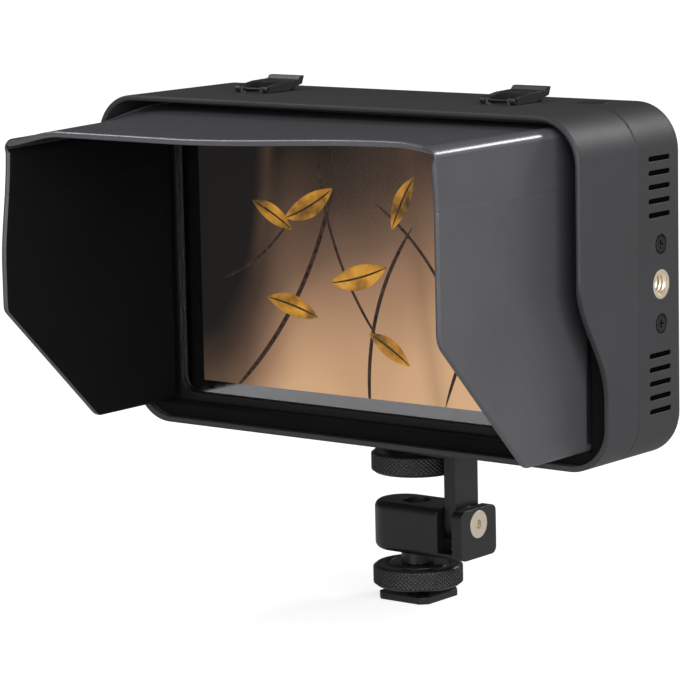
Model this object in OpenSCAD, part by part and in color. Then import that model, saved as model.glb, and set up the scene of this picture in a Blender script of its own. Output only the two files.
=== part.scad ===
// Camera field monitor with a folding sun hood on a tilting cold-shoe mount.
// Millimetres, +Z up, the screen looks along -Y. The origin is the middle of
// the shoe foot's underside.

/* [Picture] */
// Width of the picture area
picture_w = 136.6; // [124:0.1:180]
// Height of the picture area
picture_h = 76.9; // [74:0.1:100]

/* [Case] */
// Width of the case beyond the picture, at each side
side_margin = 18.2; // [17:0.1:24]
// Height of the case above the picture
top_margin = 11.35; // [10.5:0.05:15]
// Height of the case below the picture
bottom_margin = 11.75; // [11:0.05:15]
// Outer radius of the case corners
corner_r = 13.2; // [12:0.1:16]
// Depth of the hood frame, from its lip to the seam
hood_frame_d = 27.9; // [27:0.1:34]
// Depth of the rear casing, from the seam to the back cover
rear_casing_d = 19.9; // [19:0.1:26]
// Thickness of the back cover
back_cover_t = 2; // [1.6:0.1:2.6]
// Wall of the hood frame
frame_wall = 1.6; // [1.2:0.1:2]
// Wall of the rear casing
casing_wall = 2; // [1.6:0.1:2.4]
// How far the lower half of the lip stands back
lip_step = 13.5; // [6:0.5:14]
// Height at which the lip starts to curve back
lip_curve_top = 56; // [50:1:70]
// Height at which the lip has curved back
lip_curve_bottom = 21; // [14:1:28]
// Gap at the seam between the hood frame and the rear casing
seam_gap = 0.1; // [0.05:0.05:0.3]

/* [Screen] */
// Border of the cover glass beside the picture
glass_side = 7.7; // [5:0.1:8]
// Border of the cover glass above and below the picture
glass_end = 3.95; // [2:0.05:4.5]
// Corner radius of the cover glass
glass_corner_r = 5; // [2:0.5:8]
// Thickness of the cover glass
glass_t = 1.1; // [0.7:0.1:1.6]
// Depth of the glass face behind the lip
glass_depth = 23.3; // [22.8:0.1:24]
// Thickness of the liquid-crystal panel
panel_t = 1.4; // [1:0.1:1.6]
// Thickness of the backlight
backlight_t = 4.2; // [3:0.1:4.4]

/* [Sun hood] */
// Reach of the side boards from their hinge to their front edge
side_board_reach = 72.2; // [60:0.2:74]
// Reach of the top board from its hinge to its front edge
top_board_reach = 66.3; // [54:0.1:68]
// Thickness of the hood boards
board_t = 1.8; // [1.2:0.1:2]
// Distance from the case's side to the outer face of a side board
hood_inset = 8.3; // [7.5:0.1:10]
// Height of the side boards' lower edge above the case bottom
hood_bottom = 5.8; // [5.7:0.1:8]
// Distance from the case's top down to the top board's upper face
hood_top_inset = 3.9; // [3.6:0.1:6]
// Distance from the top board's upper face down to the crease in each side board
crease_drop = 16.3; // [8:0.1:26]
// Length of the side boards' level lower edge, from the hinge
side_board_foot = 34; // [26:0.5:40]
// Height at which the front edge turns into the slope
knee_height = 44.9; // [36:0.1:56]
// Width of the gap at the crease
crease_gap = 0.3; // [0.2:0.05:0.5]
// Corner radius of the boards
board_corner_r = 4; // [1:0.5:6]

/* [Clips] */
// Distance of each clip from the middle of the case
clip_offset = 44.6; // [36:0.1:56]
// Width of a clip lever
clip_w = 12; // [10:0.5:14]
// Radius of the clip pin
clip_pin_r = 0.5; // [0.4:0.05:0.6]

/* [Side and bottom sockets] */
// Tapped radius of a quarter-inch socket
socket_r = 3.175; // [3:0.005:3.3]
// Outer radius of a socket where it shows in the case
socket_boss_r = 4.15; // [4:0.05:4.6]
// Depth of the side sockets behind the seam
socket_depth = 12.1; // [11:0.1:12.5]
// Height of the side sockets above the middle of the case
socket_rise = 0.2; // [-2:0.1:2]
// Distance from a side socket to each of its screws
socket_screw_pitch = 11.15; // [10:0.05:12]

/* [Vents] */
// Number of slots in each row
vent_count = 5; // [3:1:5]
// Distance from one slot to the next
vent_pitch = 3.93; // [3.2:0.01:4]
// Length of a slot, along the depth of the case
vent_l = 11; // [8:0.5:12]
// Height of a slot
vent_h = 1.5; // [1:0.1:2]
// Height of the uppermost slot above the side socket
vent_rise = 35.3; // [33:0.1:37]
// Distance from the side socket down to the uppermost slot of the lower row
vent_drop = 19.73; // [18:0.01:21]

/* [Power button] */
// Radius of the power button
button_r = 4.4; // [3.5:0.1:4.8]
// Distance of the power button from the right side of the case
button_inset = 21; // [17:0.5:28]
// Travel of the power button
button_travel = 0.5; // [0.3:0.05:0.6]

/* [Battery plate] */
// Width of the battery plate
battery_plate_w = 72; // [66:0.5:80]
// Height of the battery plate
battery_plate_h = 40; // [38:0.5:44]
// Thickness of the battery plate
battery_plate_t = 2.6; // [2:0.1:4]
// Travel of the battery latch
latch_travel = 1.6; // [1:0.1:2]

/* [Shoe mount] */
// Side of the square shoe foot
foot_w = 18.2; // [17.6:0.1:18.6]
// Thickness of the shoe foot
foot_t = 2; // [1.8:0.05:2.1]
// Gap between the foot and the lock wheel, where the shoe's rails go
rail_gap = 2; // [1.8:0.1:3]
// Radius of both knurled wheels
wheel_r = 13.45; // [11:0.05:13.9]
// Height of both knurled wheels
wheel_h = 6.3; // [5:0.1:6.4]
// Number of flutes in a knurled wheel
flute_count = 60; // [36:4:72]
// Depth of a flute
flute_depth = 0.4; // [0.2:0.05:0.6]
// Radius of the foot's stud
stud_r = 3.1; // [2.8:0.05:3.4]
// Height of the collar between the lock wheel and the block
collar_h = 3.8; // [3:0.1:6]
// Width of the clevis block, front to back
block_d = 17.3; // [15:0.1:19]
// Height of the clevis block
block_h = 14.8; // [14:0.1:18]
// Distance from the pan axis to the block's pivot end
block_reach = 22.5; // [22:0.1:26]
// Distance from the pan axis to the middle of the block's round end
block_back = 4.9; // [4:0.1:8]
// Width of the clevis slot
slot_w = 5.4; // [5:0.1:5.6]
// Thickness of the clevis's outer ear
ear_t = 3.5; // [3:0.1:4]
// Height of the pivot above the block's underside
pivot_rise = 10; // [9:0.1:11]
// Height of the case bottom above the pivot
arm_rise = 25.4; // [25:0.1:34]
// Thickness of the tilt arm
arm_t = 4; // [3.4:0.1:4.4]
// Width of the tilt arm, front to back
arm_w = 11.3; // [9:0.1:13]
// Thickness of the plate under the case
arm_plate_t = 4.3; // [3:0.1:4.4]
// Radius of the pivot screw's shank
pivot_r = 2.5; // [1.5:0.1:2.8]

/* [Fits] */
// Radial clearance of a running fit
running_fit = 0.06; // [0.03:0.01:0.09]
// Clearance between parts that slide past each other
slide_gap = 0.3; // [0.2:0.05:0.4]
// Clearance between parts that are fixed together
seat_gap = 0.05; // [0.02:0.01:0.1]

/* [Hidden] */
$fn = 64;

anodised = [0.13, 0.13, 0.14];
moulded = [0.17, 0.17, 0.18];
leather = [0.24, 0.24, 0.25];
steel = [0.8, 0.79, 0.76];
brass = [0.8, 0.65, 0.3];
circuit = [0.05, 0.25, 0.14];

// Outline of the case and of the glass
case_w = picture_w + 2 * side_margin;
case_h = picture_h + top_margin + bottom_margin;
case_mid = case_h / 2;
picture_mid = bottom_margin + picture_h / 2;
glass_w = picture_w + 2 * glass_side;
glass_h = picture_h + 2 * glass_end;

// Heights of the shoe mount, from the foot's underside up
wheel_z = foot_t + rail_gap;
collar_z = wheel_z + wheel_h + slide_gap;
block_z = collar_z + collar_h;
pivot_z = block_z + pivot_rise;
case_z = pivot_z + arm_rise;
pad_t = 0.6;
foot_chamfer = 2;
pad_z = case_z - seat_gap - pad_t;
plate_z = pad_z - arm_plate_t;
upper_wheel_z = plate_z - slide_gap - wheel_h;

// Depths inside the case, from the plane of the lip
back_cover_depth = hood_frame_d + rear_casing_d;
back_depth = back_cover_depth + back_cover_t;
socket_axis_depth = hood_frame_d + socket_depth;
front_y = -socket_axis_depth;
panel_depth = glass_depth + glass_t + seat_gap;
backlight_depth = panel_depth + panel_t + seat_gap;
chassis_depth = backlight_depth + backlight_t + seat_gap;
chassis_t = 1.2;
bezel_lip = 0.4;
bezel_depth = glass_depth - bezel_lip;
bezel_inset = casing_wall + 0.1;
bezel_wall = 1.6;
bezel_flange = 1.5;
glass_gap = 0.1;
bezel_back = chassis_depth + chassis_t;
board_standoff = 3.8;
board_depth = bezel_back + board_standoff;
circuit_t = 1.6;
board_back = board_depth + circuit_t;

inner_r = corner_r - casing_wall;
post_r = 3;
post_inset = 7;

// Hood boards
hood_w = case_w - 2 * hood_inset;
hood_top = case_h - hood_top_inset;
crease_height = hood_top - crease_drop;
side_axis_x = hood_w / 2 - board_t / 2;
liner_depth = 7;
liner_gap = 0.1;
side_axis_depth = glass_depth - bezel_lip - board_t - 1.1;
top_axis_depth = side_axis_depth - 2 * board_t - 0.4;
top_axis_height = hood_top - board_t / 2;
side_board_top = hood_top - board_t - slide_gap;
top_board_w = hood_w - 2 * board_t - 2 * slide_gap;
liner_inner_w = hood_w + 2 * slide_gap + 1;
liner_bottom = hood_bottom - slide_gap;
liner_top = hood_top + slide_gap + 0.2;

// Clip levers
clip_axis_depth = hood_frame_d - 5.7;
clip_lever_r = 0.9;
clip_clear = 0.15;
clip_axis_height = case_h + clip_lever_r + clip_clear;
clip_ear_t = 0.8;
clip_rail = 1.6;
tongue_depth = hood_frame_d + 6.3;
tongue_t = 1.2;
tongue_w = 8;

// Mount arm, between the pivot washers in the slot
slot_x = block_reach - ear_t - slot_w;
washer_t = (slot_w - arm_t) / 2 - seat_gap;
arm_x = slot_x + (slot_w - arm_t) / 2;
pivot_head_r = 4.1;
pivot_head_t = 1.2;
pivot_tip_x = 6;

// Case fixings: the corner posts, and the sockets in the left wall and the back
post_places = [for (x = [post_inset - case_w / 2, case_w / 2 - post_inset], z = [post_inset, case_h - post_inset]) [x, z]];
socket_height = case_mid + socket_rise;
socket_l = 8.45;
vent_top = socket_height + vent_rise;
vent_low_top = socket_height - vent_drop;
hdmi_z = socket_height - 23.1;
usb_z = hdmi_z - 12.4;
hdmi_t = 5.6;
hdmi_h = 14;
usb_t = 3.2;
usb_h = 8.8;
usb_lift = 1;
port_inset = 0.15;
power_x = case_w / 2 - 36.5;
power_z = 20;
headphone_z = 33;
board_x = [casing_wall + 1.5 - case_w / 2, case_w / 2 - 24.5];
board_z = [10, case_h - 16];
board_fixings = [
    for (x = [board_x[0] + 16, board_x[1] - 6], z = [board_z[0] + 30, board_z[1] - 5]) [x, z]
];
button_offset = case_w / 2 - button_inset;
button_depth = socket_axis_depth - 1.8;
switch_z = case_h - casing_wall - 6.6;
bracket_half = socket_screw_pitch + 3.6;

// Battery plate: places of its latch, contacts and rails
latch_x = battery_plate_w / 2 - 9;
latch_r = 3.4;
latch_gap = 0.1;
latch_lip_z = battery_plate_t - 0.4;
contact_x = 10 - battery_plate_w / 2;
contact_l = 2;
contact_t = 1.2;
contact_pitch = 6;
rail_z = battery_plate_h / 2 - 6;

// Rounded rectangle, middle of its lower edge at the origin
module rounded(w, h, r) {
    translate([r - w / 2, 0]) square([w - 2 * r, h]);
    translate([-w / 2, r]) square([w, h - 2 * r]);
    for (x = [r - w / 2, w / 2 - r], y = [r, h - r]) translate([x, y]) circle(r);
}

// Raises an outline drawn in X and Z from depth y0 to depth y1
module deep(y0, y1) {
    translate([0, y1, 0]) rotate([90, 0, 0]) linear_extrude(y1 - y0) children();
}

// Raises an outline drawn in Y and Z from x0 to x1
module across(x0, x1) {
    translate([x0, 0, 0]) rotate([90, 0, 90]) linear_extrude(x1 - x0) children();
}

// Carries a wall section round a rounded rectangle. In the section X is the
// distance outwards from the outline and Y is the depth.
module rim(w, h, r) {
    for (turn = [0:90:270]) {
        side_x = (turn == 0 || turn == 270) ? w / 2 - r : r - w / 2;
        side_z = turn < 180 ? r : h - r;
        translate([side_x, 0, side_z]) rotate([0, turn, 0]) rotate([-90, 0, 0])
            rotate_extrude(angle = 90) translate([r, 0]) children();
    }
    for (s = [0, 1]) mirror([s, 0, 0])
        translate([w / 2, 0, r]) linear_extrude(h - 2 * r) children();
    translate([w / 2 - r, 0, h]) rotate([0, -90, 0]) linear_extrude(w - 2 * r) children();
    translate([r - w / 2, 0, 0]) rotate([0, 90, 0]) linear_extrude(w - 2 * r) children();
}

// Places a part drawn from the lip's plane and the case's underside
module in_case() {
    translate([0, front_y, case_z]) children();
}

// Long slot with round ends, along Y
module slot(l, h) {
    square([l - h, h], center = true);
    for (s = [-1, 1]) translate([s * (l - h) / 2, 0]) circle(h / 2);
}

module hexagon(across_flats) {
    circle(across_flats / sqrt(3), $fn = 6);
}

// Depth of the lip at height z: level, then half a cosine wave, then level
function lip_at(z) =
    z >= lip_curve_top ? 0 :
    z <= lip_curve_bottom ? lip_step :
    lip_step * (1 - cos(180 * (lip_curve_top - z) / (lip_curve_top - lip_curve_bottom))) / 2;

// Knurled wheel standing on its underside, with a plain bevel above and below
// and a shallow groove in its upper face
module knurled_wheel(bore_r) {
    bevel = 0.9;
    core_r = wheel_r - flute_depth - 0.2;
    groove_r = wheel_r - 4;
    rotate_extrude() polygon([
        [bore_r, 0], [core_r - bevel, 0], [core_r, bevel], [core_r, wheel_h - bevel],
        [core_r - bevel, wheel_h], [groove_r + 0.6, wheel_h], [groove_r + 0.6, wheel_h - 0.5],
        [groove_r - 0.6, wheel_h - 0.5], [groove_r - 0.6, wheel_h], [bore_r, wheel_h]
    ]);
    translate([0, 0, bevel]) linear_extrude(wheel_h - 2 * bevel) difference() {
        polygon([for (i = [0:2 * flute_count - 1])
            (wheel_r - (i % 2) * flute_depth) * [cos(180 * i / flute_count), sin(180 * i / flute_count)]]);
        circle(core_r - 1);
    }
}

// Cross-recessed screw with its head's underside at the origin, pointing down
module cross_screw(head_r, head_t, shank_r, shank_l) {
    difference() {
        union() {
            cylinder(r = head_r, h = head_t);
            translate([0, 0, -shank_l]) cylinder(r = shank_r, h = shank_l + 0.01);
        }
        for (a = [0, 90]) rotate(a)
            translate([-head_r * 0.55, -0.3, head_t * 0.35]) cube([head_r * 1.1, 0.6, head_t]);
    }
}

module shoe_foot() {
    color(anodised) difference() {
        union() {
            linear_extrude(foot_t) intersection() {
                square(foot_w, center = true);
                rotate(45) square(sqrt(2) * (foot_w - foot_chamfer), center = true);
            }
            cylinder(r = stud_r, h = block_z + 3.6);
        }
        translate([0, 0, wheel_z + 3]) cylinder(r = 2, h = block_z);
    }
}

module pan_screw() {
    head_z = block_z + 8.6 + slide_gap / 3;
    color(steel) difference() {
        union() {
            translate([0, 0, head_z]) cylinder(r = 3.5, h = 3);
            translate([0, 0, wheel_z + 3.2]) cylinder(r = 2 - seat_gap / 2, h = head_z - wheel_z - 3.1);
        }
        translate([0, 0, head_z + 1.2]) linear_extrude(3) hexagon(3);
    }
}

module foot_lock_wheel() {
    color(anodised) translate([0, 0, wheel_z]) knurled_wheel(stud_r + running_fit);
}

// Rounded section of the clevis block, in Y and Z
module block_section() {
    translate([0, block_z]) rounded(block_d, block_h, 2.2);
}

module clevis_block() {
    counterbore_z = block_z + 8.6;
    color(anodised) difference() {
        union() {
            across(-block_back, block_reach) block_section();
            translate([-block_back, 0, 0]) rotate_extrude() intersection() {
                block_section();
                translate([0, block_z]) square([block_d, block_h]);
            }
            translate([0, 0, collar_z]) cylinder(r = 4.9, h = collar_h + 1);
        }
        translate([0, 0, collar_z - 1]) cylinder(r = stud_r + running_fit, h = block_z + 4 - collar_z + 1);
        translate([0, 0, block_z]) cylinder(r = 2 + running_fit, h = block_h);
        translate([0, 0, counterbore_z]) cylinder(r = 4.2, h = block_h);
        translate([slot_x, -block_d, block_z + 1.9]) cube([slot_w, 2 * block_d, block_h]);
        translate([pivot_tip_x - slide_gap, 0, pivot_z]) rotate([0, 90, 0])
            cylinder(r = pivot_r + seat_gap, h = block_reach);
        translate([block_reach - pivot_head_t, 0, pivot_z]) rotate([0, 90, 0])
            cylinder(r = pivot_head_r + seat_gap, h = 2);
    }
}

module pivot_screw() {
    color(steel) translate([0, 0, pivot_z]) rotate([0, 90, 0]) difference() {
        union() {
            translate([0, 0, block_reach - pivot_head_t + seat_gap])
                cylinder(r = pivot_head_r, h = pivot_head_t);
            translate([0, 0, pivot_tip_x]) cylinder(r = pivot_r, h = block_reach - pivot_head_t - pivot_tip_x + 0.2);
        }
        translate([0, 0, block_reach - 1.6]) linear_extrude(3) hexagon(2.5);
    }
}

module pivot_washers() {
    color(steel) for (x = [slot_x + seat_gap / 2, arm_x + arm_t + seat_gap / 2])
        translate([x, 0, pivot_z]) rotate([0, 90, 0]) difference() {
            cylinder(r = 5, h = washer_t);
            translate([0, 0, -1]) cylinder(r = pivot_r + seat_gap, h = 3);
        }
}

// Plan of the plate under the case: a round end on the screw and a straight
// run to the arm
module plate_plan(r) {
    circle(r);
    translate([0, -r]) square([arm_x + arm_t, 2 * r]);
}

module tilt_arm() {
    color(anodised) difference() {
        union() {
            across(arm_x, arm_x + arm_t) {
                translate([0, pivot_z]) circle(arm_w / 2);
                translate([-arm_w / 2, pivot_z]) square([arm_w, plate_z - pivot_z + arm_plate_t]);
            }
            translate([0, 0, plate_z]) linear_extrude(arm_plate_t) plate_plan(block_d / 2);
        }
        translate([0, 0, plate_z - 1]) cylinder(r = socket_r, h = arm_plate_t + 2);
        translate([arm_x - 1, 0, pivot_z]) rotate([0, 90, 0])
            cylinder(r = pivot_r + running_fit, h = arm_t + 2);
    }
}

module arm_pad() {
    color([0.1, 0.1, 0.1]) translate([0, 0, pad_z]) linear_extrude(pad_t) difference() {
        plate_plan(block_d / 2 - 0.8);
        circle(socket_r + 0.4);
    }
}

module mount_thumb_wheel() {
    color(anodised) translate([0, 0, upper_wheel_z]) knurled_wheel(socket_r);
}

module mount_stud() {
    color(steel) translate([0, 0, upper_wheel_z + 0.4])
        cylinder(r = socket_r - running_fit, h = case_z + 6 - upper_wheel_z);
}

// Five slots, one above the other, with the first at height z
module vent_row(z) {
    for (i = [0:vent_count - 1]) translate([socket_axis_depth - 0.7, z - i * vent_pitch]) slot(vent_l, vent_h);
}

// Section of the rear casing's wall, its outer edges rounded
module casing_section() {
    edge_r = 0.8;
    y0 = hood_frame_d + seam_gap;
    translate([-casing_wall, y0]) square([casing_wall - edge_r, back_cover_depth - y0]);
    translate([-edge_r - 0.01, y0 + edge_r]) square([edge_r + 0.01, back_cover_depth - y0 - edge_r]);
    translate([-edge_r, y0 + edge_r]) circle(edge_r);
}

module rear_casing() {
    color(moulded) in_case() difference() {
        union() {
            rim(case_w, case_h, corner_r) casing_section();
            for (p = post_places) translate([p[0], back_cover_depth, p[1]]) rotate([90, 0, 0])
                cylinder(r = post_r, h = back_cover_depth - bezel_back - 1.5);
            for (s = [-1, 1]) translate([button_offset + s * 8, button_depth, switch_z])
                cylinder(r = 1.6, h = 7);
        }
        across(-case_w, case_w) vent_row(vent_top);
        across(0, case_w) vent_row(vent_low_top);
        for (s = [-1, 1]) translate([0, socket_axis_depth, socket_height]) rotate([0, 90 * s, 0]) {
            cylinder(r = socket_boss_r + seat_gap, h = case_w);
        }
        for (s = [-1, 1], k = [-1, 1])
            translate([0, socket_axis_depth, socket_height + k * socket_screw_pitch]) rotate([0, 90 * s, 0]) {
                cylinder(r = 1.4, h = case_w);
                translate([0, 0, case_w / 2 - 1.1]) cylinder(r = 2.9, h = 3);
            }
        translate([0, socket_axis_depth, -1]) cylinder(r = 5 + seat_gap, h = 6);
        translate([button_offset, button_depth, case_h - 5]) cylinder(r = button_r + running_fit, h = 8);
        for (s = [-1, 1]) translate([s * clip_offset - tongue_w / 2 - 0.5, tongue_depth - 0.4, case_h - 4])
            cube([tongue_w + 1, tongue_t + 1, 8]);
        translate([-case_w, board_back, hdmi_z - hdmi_h / 2]) port_cut(hdmi_t, hdmi_h);
        translate([-case_w, board_back + usb_lift, usb_z - usb_h / 2]) port_cut(usb_t, usb_h);
        for (p = post_places) translate([p[0], back_cover_depth + 1, p[1]]) rotate([90, 0, 0])
            cylinder(r = 1.2, h = 9);
    }
}

module back_cover() {
    edge_r = 1.2;
    color(moulded) in_case() difference() {
        union() {
            translate([0, 0, edge_r]) deep(back_cover_depth + seat_gap, back_depth)
                rounded(case_w - 2 * edge_r, case_h - 2 * edge_r, corner_r - edge_r);
            rim(case_w, case_h, corner_r) intersection() {
                translate([-edge_r, back_depth - edge_r]) circle(edge_r);
                translate([-edge_r - 0.01, back_depth - edge_r]) square(2 * edge_r);
            }
            rim(case_w, case_h, corner_r) translate([-edge_r - 0.01, back_cover_depth + seat_gap])
                square([edge_r + 0.01, back_cover_t - edge_r - seat_gap]);
        }
        for (p = post_places) translate([p[0], back_depth + 1, p[1]]) rotate([90, 0, 0]) {
            cylinder(r = 1.5, h = 6);
            cylinder(r = 2.7, h = 2.2);
        }
        translate([power_x, back_depth + 1, power_z]) rotate([90, 0, 0]) cylinder(r = 4.1, h = 6);
        translate([power_x, back_depth + 1, headphone_z]) rotate([90, 0, 0]) cylinder(r = 3.1, h = 6);
    }
}

module cover_screws() {
    color(anodised) in_case() for (p = post_places)
        translate([p[0], back_depth - 1.2 + seat_gap, p[1]]) rotate([-90, 0, 0]) cross_screw(2.4, 1.1, 1.15, 7);
}

module front_bezel() {
    pocket = bezel_inset + bezel_wall;
    color([0.06, 0.06, 0.06]) in_case() difference() {
        translate([0, 0, bezel_inset]) deep(bezel_depth, bezel_back)
            rounded(case_w - 2 * bezel_inset, case_h - 2 * bezel_inset, corner_r - bezel_inset);
        translate([0, 0, pocket]) deep(bezel_depth + bezel_flange, bezel_back + 1)
            rounded(case_w - 2 * pocket, case_h - 2 * pocket, corner_r - pocket);
        translate([0, 0, picture_mid - glass_h / 2 - glass_gap]) deep(bezel_depth - 1, bezel_depth + 3)
            rounded(glass_w + 2 * glass_gap, glass_h + 2 * glass_gap, glass_corner_r + glass_gap);
    }
}

module cover_glass() {
    color([0.1, 0.11, 0.12, 0.6]) in_case() translate([0, 0, picture_mid - glass_h / 2])
        deep(glass_depth, glass_depth + glass_t) rounded(glass_w, glass_h, glass_corner_r);
}

module display_panel() {
    border = 2.2;
    color([0.55, 0.42, 0.3]) in_case() translate([-picture_w / 2 - border, panel_depth, picture_mid - picture_h / 2 - border])
        cube([picture_w + 2 * border, panel_t, picture_h + 2 * border]);
}

module backlight() {
    border = 4.2;
    color([0.75, 0.76, 0.78]) in_case() translate([-picture_w / 2 - border, backlight_depth, picture_mid - picture_h / 2 - border])
        cube([picture_w + 2 * border, backlight_t, picture_h + 2 * border]);
}

// Metal plate across the casing, with stand-offs for the main board
module chassis_plate() {
    inset = bezel_inset + bezel_wall + 0.1;
    color([0.6, 0.61, 0.62]) in_case() difference() {
        union() {
            translate([0, 0, inset]) deep(chassis_depth, chassis_depth + chassis_t)
                rounded(case_w - 2 * inset, case_h - 2 * inset, corner_r - inset);
            for (p = board_fixings) translate([p[0], board_depth, p[1]]) rotate([90, 0, 0])
                cylinder(r = 2.5, h = board_standoff + 0.5);
        }
        for (p = board_fixings) translate([p[0], board_depth + 1, p[1]]) rotate([90, 0, 0])
            cylinder(r = 1.25, h = board_standoff + 0.5);
    }
}

module main_board() {
    color(circuit) in_case() difference() {
        translate([board_x[0], board_depth, board_z[0]])
            cube([board_x[1] - board_x[0], circuit_t, board_z[1] - board_z[0]]);
        for (p = board_fixings) translate([p[0], board_back + 1, p[1]]) rotate([90, 0, 0])
            cylinder(r = 1.4, h = circuit_t + 2);
        translate([board_x[0] - 1, board_depth - 1, socket_height - bracket_half - 1])
            cube([9, circuit_t + 2, 2 * bracket_half + 2]);
    }
}

module board_screws() {
    color(steel) in_case() for (p = board_fixings)
        translate([p[0], board_back, p[1]]) rotate([-90, 0, 0]) cross_screw(2.4, 1.4, 1.2, circuit_t + 3);
}

// Finned block over the picture processor
module heat_sink() {
    side = 38;
    color([0.35, 0.35, 0.37]) in_case() translate([-side / 2 - 12, board_back, case_mid - side / 2]) {
        cube([side, 1.6, side]);
        for (i = [0:9]) translate([i * (side - 1.2) / 9, 0, 0]) cube([1.2, 6.5, side]);
    }
}

// Opening in the left wall for a socket t deep and h high
module port_cut(t, h) {
    translate([0, -2 * seat_gap, -2 * seat_gap]) cube([case_w / 2 + 10, t + 4 * seat_gap, h + 4 * seat_gap]);
}

// Metal shell of a socket, with a tongue in its mouth
module port(l, t, h, tongue_t, tongue_h) {
    shell = 0.4;
    color(steel) difference() {
        cube([l, t, h]);
        translate([-1, shell, shell]) cube([l - 1, t - 2 * shell, h - 2 * shell]);
    }
    color([0.05, 0.05, 0.05]) translate([1.8, (t - tongue_t) / 2, (h - tongue_h) / 2])
        cube([l - 2, tongue_t, tongue_h]);
}

module hdmi_socket() {
    in_case() translate([port_inset - case_w / 2, board_back, hdmi_z - hdmi_h / 2])
        port(12, hdmi_t, hdmi_h, 1, 11);
}

module usb_socket() {
    in_case() translate([port_inset - case_w / 2, board_back, usb_z - usb_h / 2]) {
        translate([0, usb_lift, 0]) port(8, usb_t, usb_h, 0.6, 6);
        color(steel) translate([5, 0, 1.4]) cube([2.6, usb_lift + 0.2, usb_h - 2.8]);
    }
}

module power_socket() {
    color([0.08, 0.08, 0.08]) in_case() translate([power_x, board_back, power_z]) rotate([-90, 0, 0]) difference() {
        cylinder(r = 4, h = back_depth - board_back - 0.2);
        translate([0, 0, 2]) difference() {
            cylinder(r = 2.9, h = 20);
            cylinder(r = 0.9, h = 8);
        }
    }
}

module headphone_socket() {
    color([0.08, 0.08, 0.08]) in_case() translate([power_x, board_back, headphone_z]) rotate([-90, 0, 0]) difference() {
        cylinder(r = 3, h = back_depth - board_back - 0.2);
        translate([0, 0, 1]) cylinder(r = 1.8, h = 20);
    }
}

// Metal strip inside a side wall, with the tapped socket at its middle
module side_bracket() {
    strip_t = 3;
    strip_x = case_w / 2 - casing_wall - seat_gap - strip_t;
    in_case() difference() {
        union() {
            translate([strip_x, socket_axis_depth - 4.6, socket_height - bracket_half])
                cube([strip_t, 9.2, 2 * bracket_half]);
            translate([case_w / 2 - seat_gap - socket_l, socket_axis_depth, socket_height]) rotate([0, 90, 0])
                cylinder(r = socket_boss_r, h = socket_l);
        }
        translate([case_w / 2 - socket_l - 1, socket_axis_depth, socket_height]) rotate([0, 90, 0])
            cylinder(r = socket_r, h = socket_l + 2);
        for (k = [-1, 1]) translate([strip_x - 1, socket_axis_depth, socket_height + k * socket_screw_pitch])
            rotate([0, 90, 0]) cylinder(r = 1.2, h = 6);
    }
}

module right_socket_bracket() {
    color(steel) side_bracket();
}

module left_socket_bracket() {
    color(steel) mirror([1, 0, 0]) side_bracket();
}

module bottom_socket_bracket() {
    color(steel) in_case() translate([0, socket_axis_depth, 0]) difference() {
        union() {
            translate([-9, -6.4, casing_wall + seat_gap]) cube([18, 12.8, 3]);
            translate([0, 0, 0.1]) cylinder(r = 5, h = 8);
        }
        translate([0, 0, -1]) cylinder(r = socket_r, h = 12);
    }
}

module bracket_screws() {
    color(anodised) in_case() for (s = [-1, 1], k = [-1, 1])
        translate([s * (case_w / 2 - 1.1 + seat_gap), socket_axis_depth, socket_height + k * socket_screw_pitch])
            rotate([0, 90 * s, 0]) cross_screw(2.3, 0.9, 1.15, 3.6);
}

module power_button() {
    flange_t = 0.9;
    flange_z = case_h - casing_wall - slide_gap / 2 - flange_t;
    color(anodised) in_case() translate([button_offset, button_depth, 0]) {
        translate([0, 0, flange_z]) cylinder(r = button_r, h = case_h + 0.15 - flange_z);
        translate([0, 0, flange_z]) cylinder(r = button_r + 0.8, h = flange_t);
        translate([0, 0, flange_z - 0.9]) cylinder(r = 1.3, h = 1);
    }
}

module power_switch() {
    stem_z = case_h - casing_wall - slide_gap / 2 - 1.8;
    plunger_top = stem_z - button_travel - 0.1;
    color([0.1, 0.1, 0.1]) in_case() translate([button_offset, button_depth, switch_z]) {
        translate([-3, -3, 0]) cube([6, 6, 3]);
        cylinder(r = 1.6, h = plunger_top - switch_z);
    }
}

module switch_board() {
    color(circuit) in_case() translate([button_offset - 10, button_depth - 4.5, switch_z - 1]) cube([20, 9, 1]);
}

// Plate for a slide-on battery: two rails with undercut edges
module battery_plate() {
    rail_l = battery_plate_w - 24;
    color(moulded) in_case() translate([0, back_depth, case_mid]) difference() {
        union() {
            translate([0, 0, -battery_plate_h / 2]) deep(seat_gap, battery_plate_t)
                rounded(battery_plate_w, battery_plate_h, 2);
            for (s = [0, 1]) mirror([0, 0, s]) translate([4 - battery_plate_w / 2, 0, 0])
                across(0, rail_l) polygon([
                    [battery_plate_t - 0.5, rail_z - 3], [battery_plate_t - 0.5, rail_z],
                    [battery_plate_t + 1.8, rail_z], [battery_plate_t + 1.8, rail_z + 1.6],
                    [battery_plate_t + 3.2, rail_z + 1.6], [battery_plate_t + 3.2, rail_z - 3]
                ]);
        }
        translate([latch_x, -1, 0]) rotate([-90, 0, 0]) {
            cylinder(r = latch_r + latch_gap, h = battery_plate_t + 3);
            cylinder(r = latch_r + 0.9 + latch_gap, h = 1 + latch_lip_z);
        }
        for (i = [-1:1]) translate([contact_x, 0, i * contact_pitch])
            cube([contact_l + 2 * slide_gap, 3 * battery_plate_t, contact_t + 2 * slide_gap], center = true);
    }
}

module battery_contacts() {
    color(brass) in_case() for (i = [-1:1])
        translate([contact_x - contact_l / 2, back_depth + seat_gap, case_mid + i * contact_pitch - contact_t / 2])
            cube([contact_l, battery_plate_t + 2.4, contact_t]);
}

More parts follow.
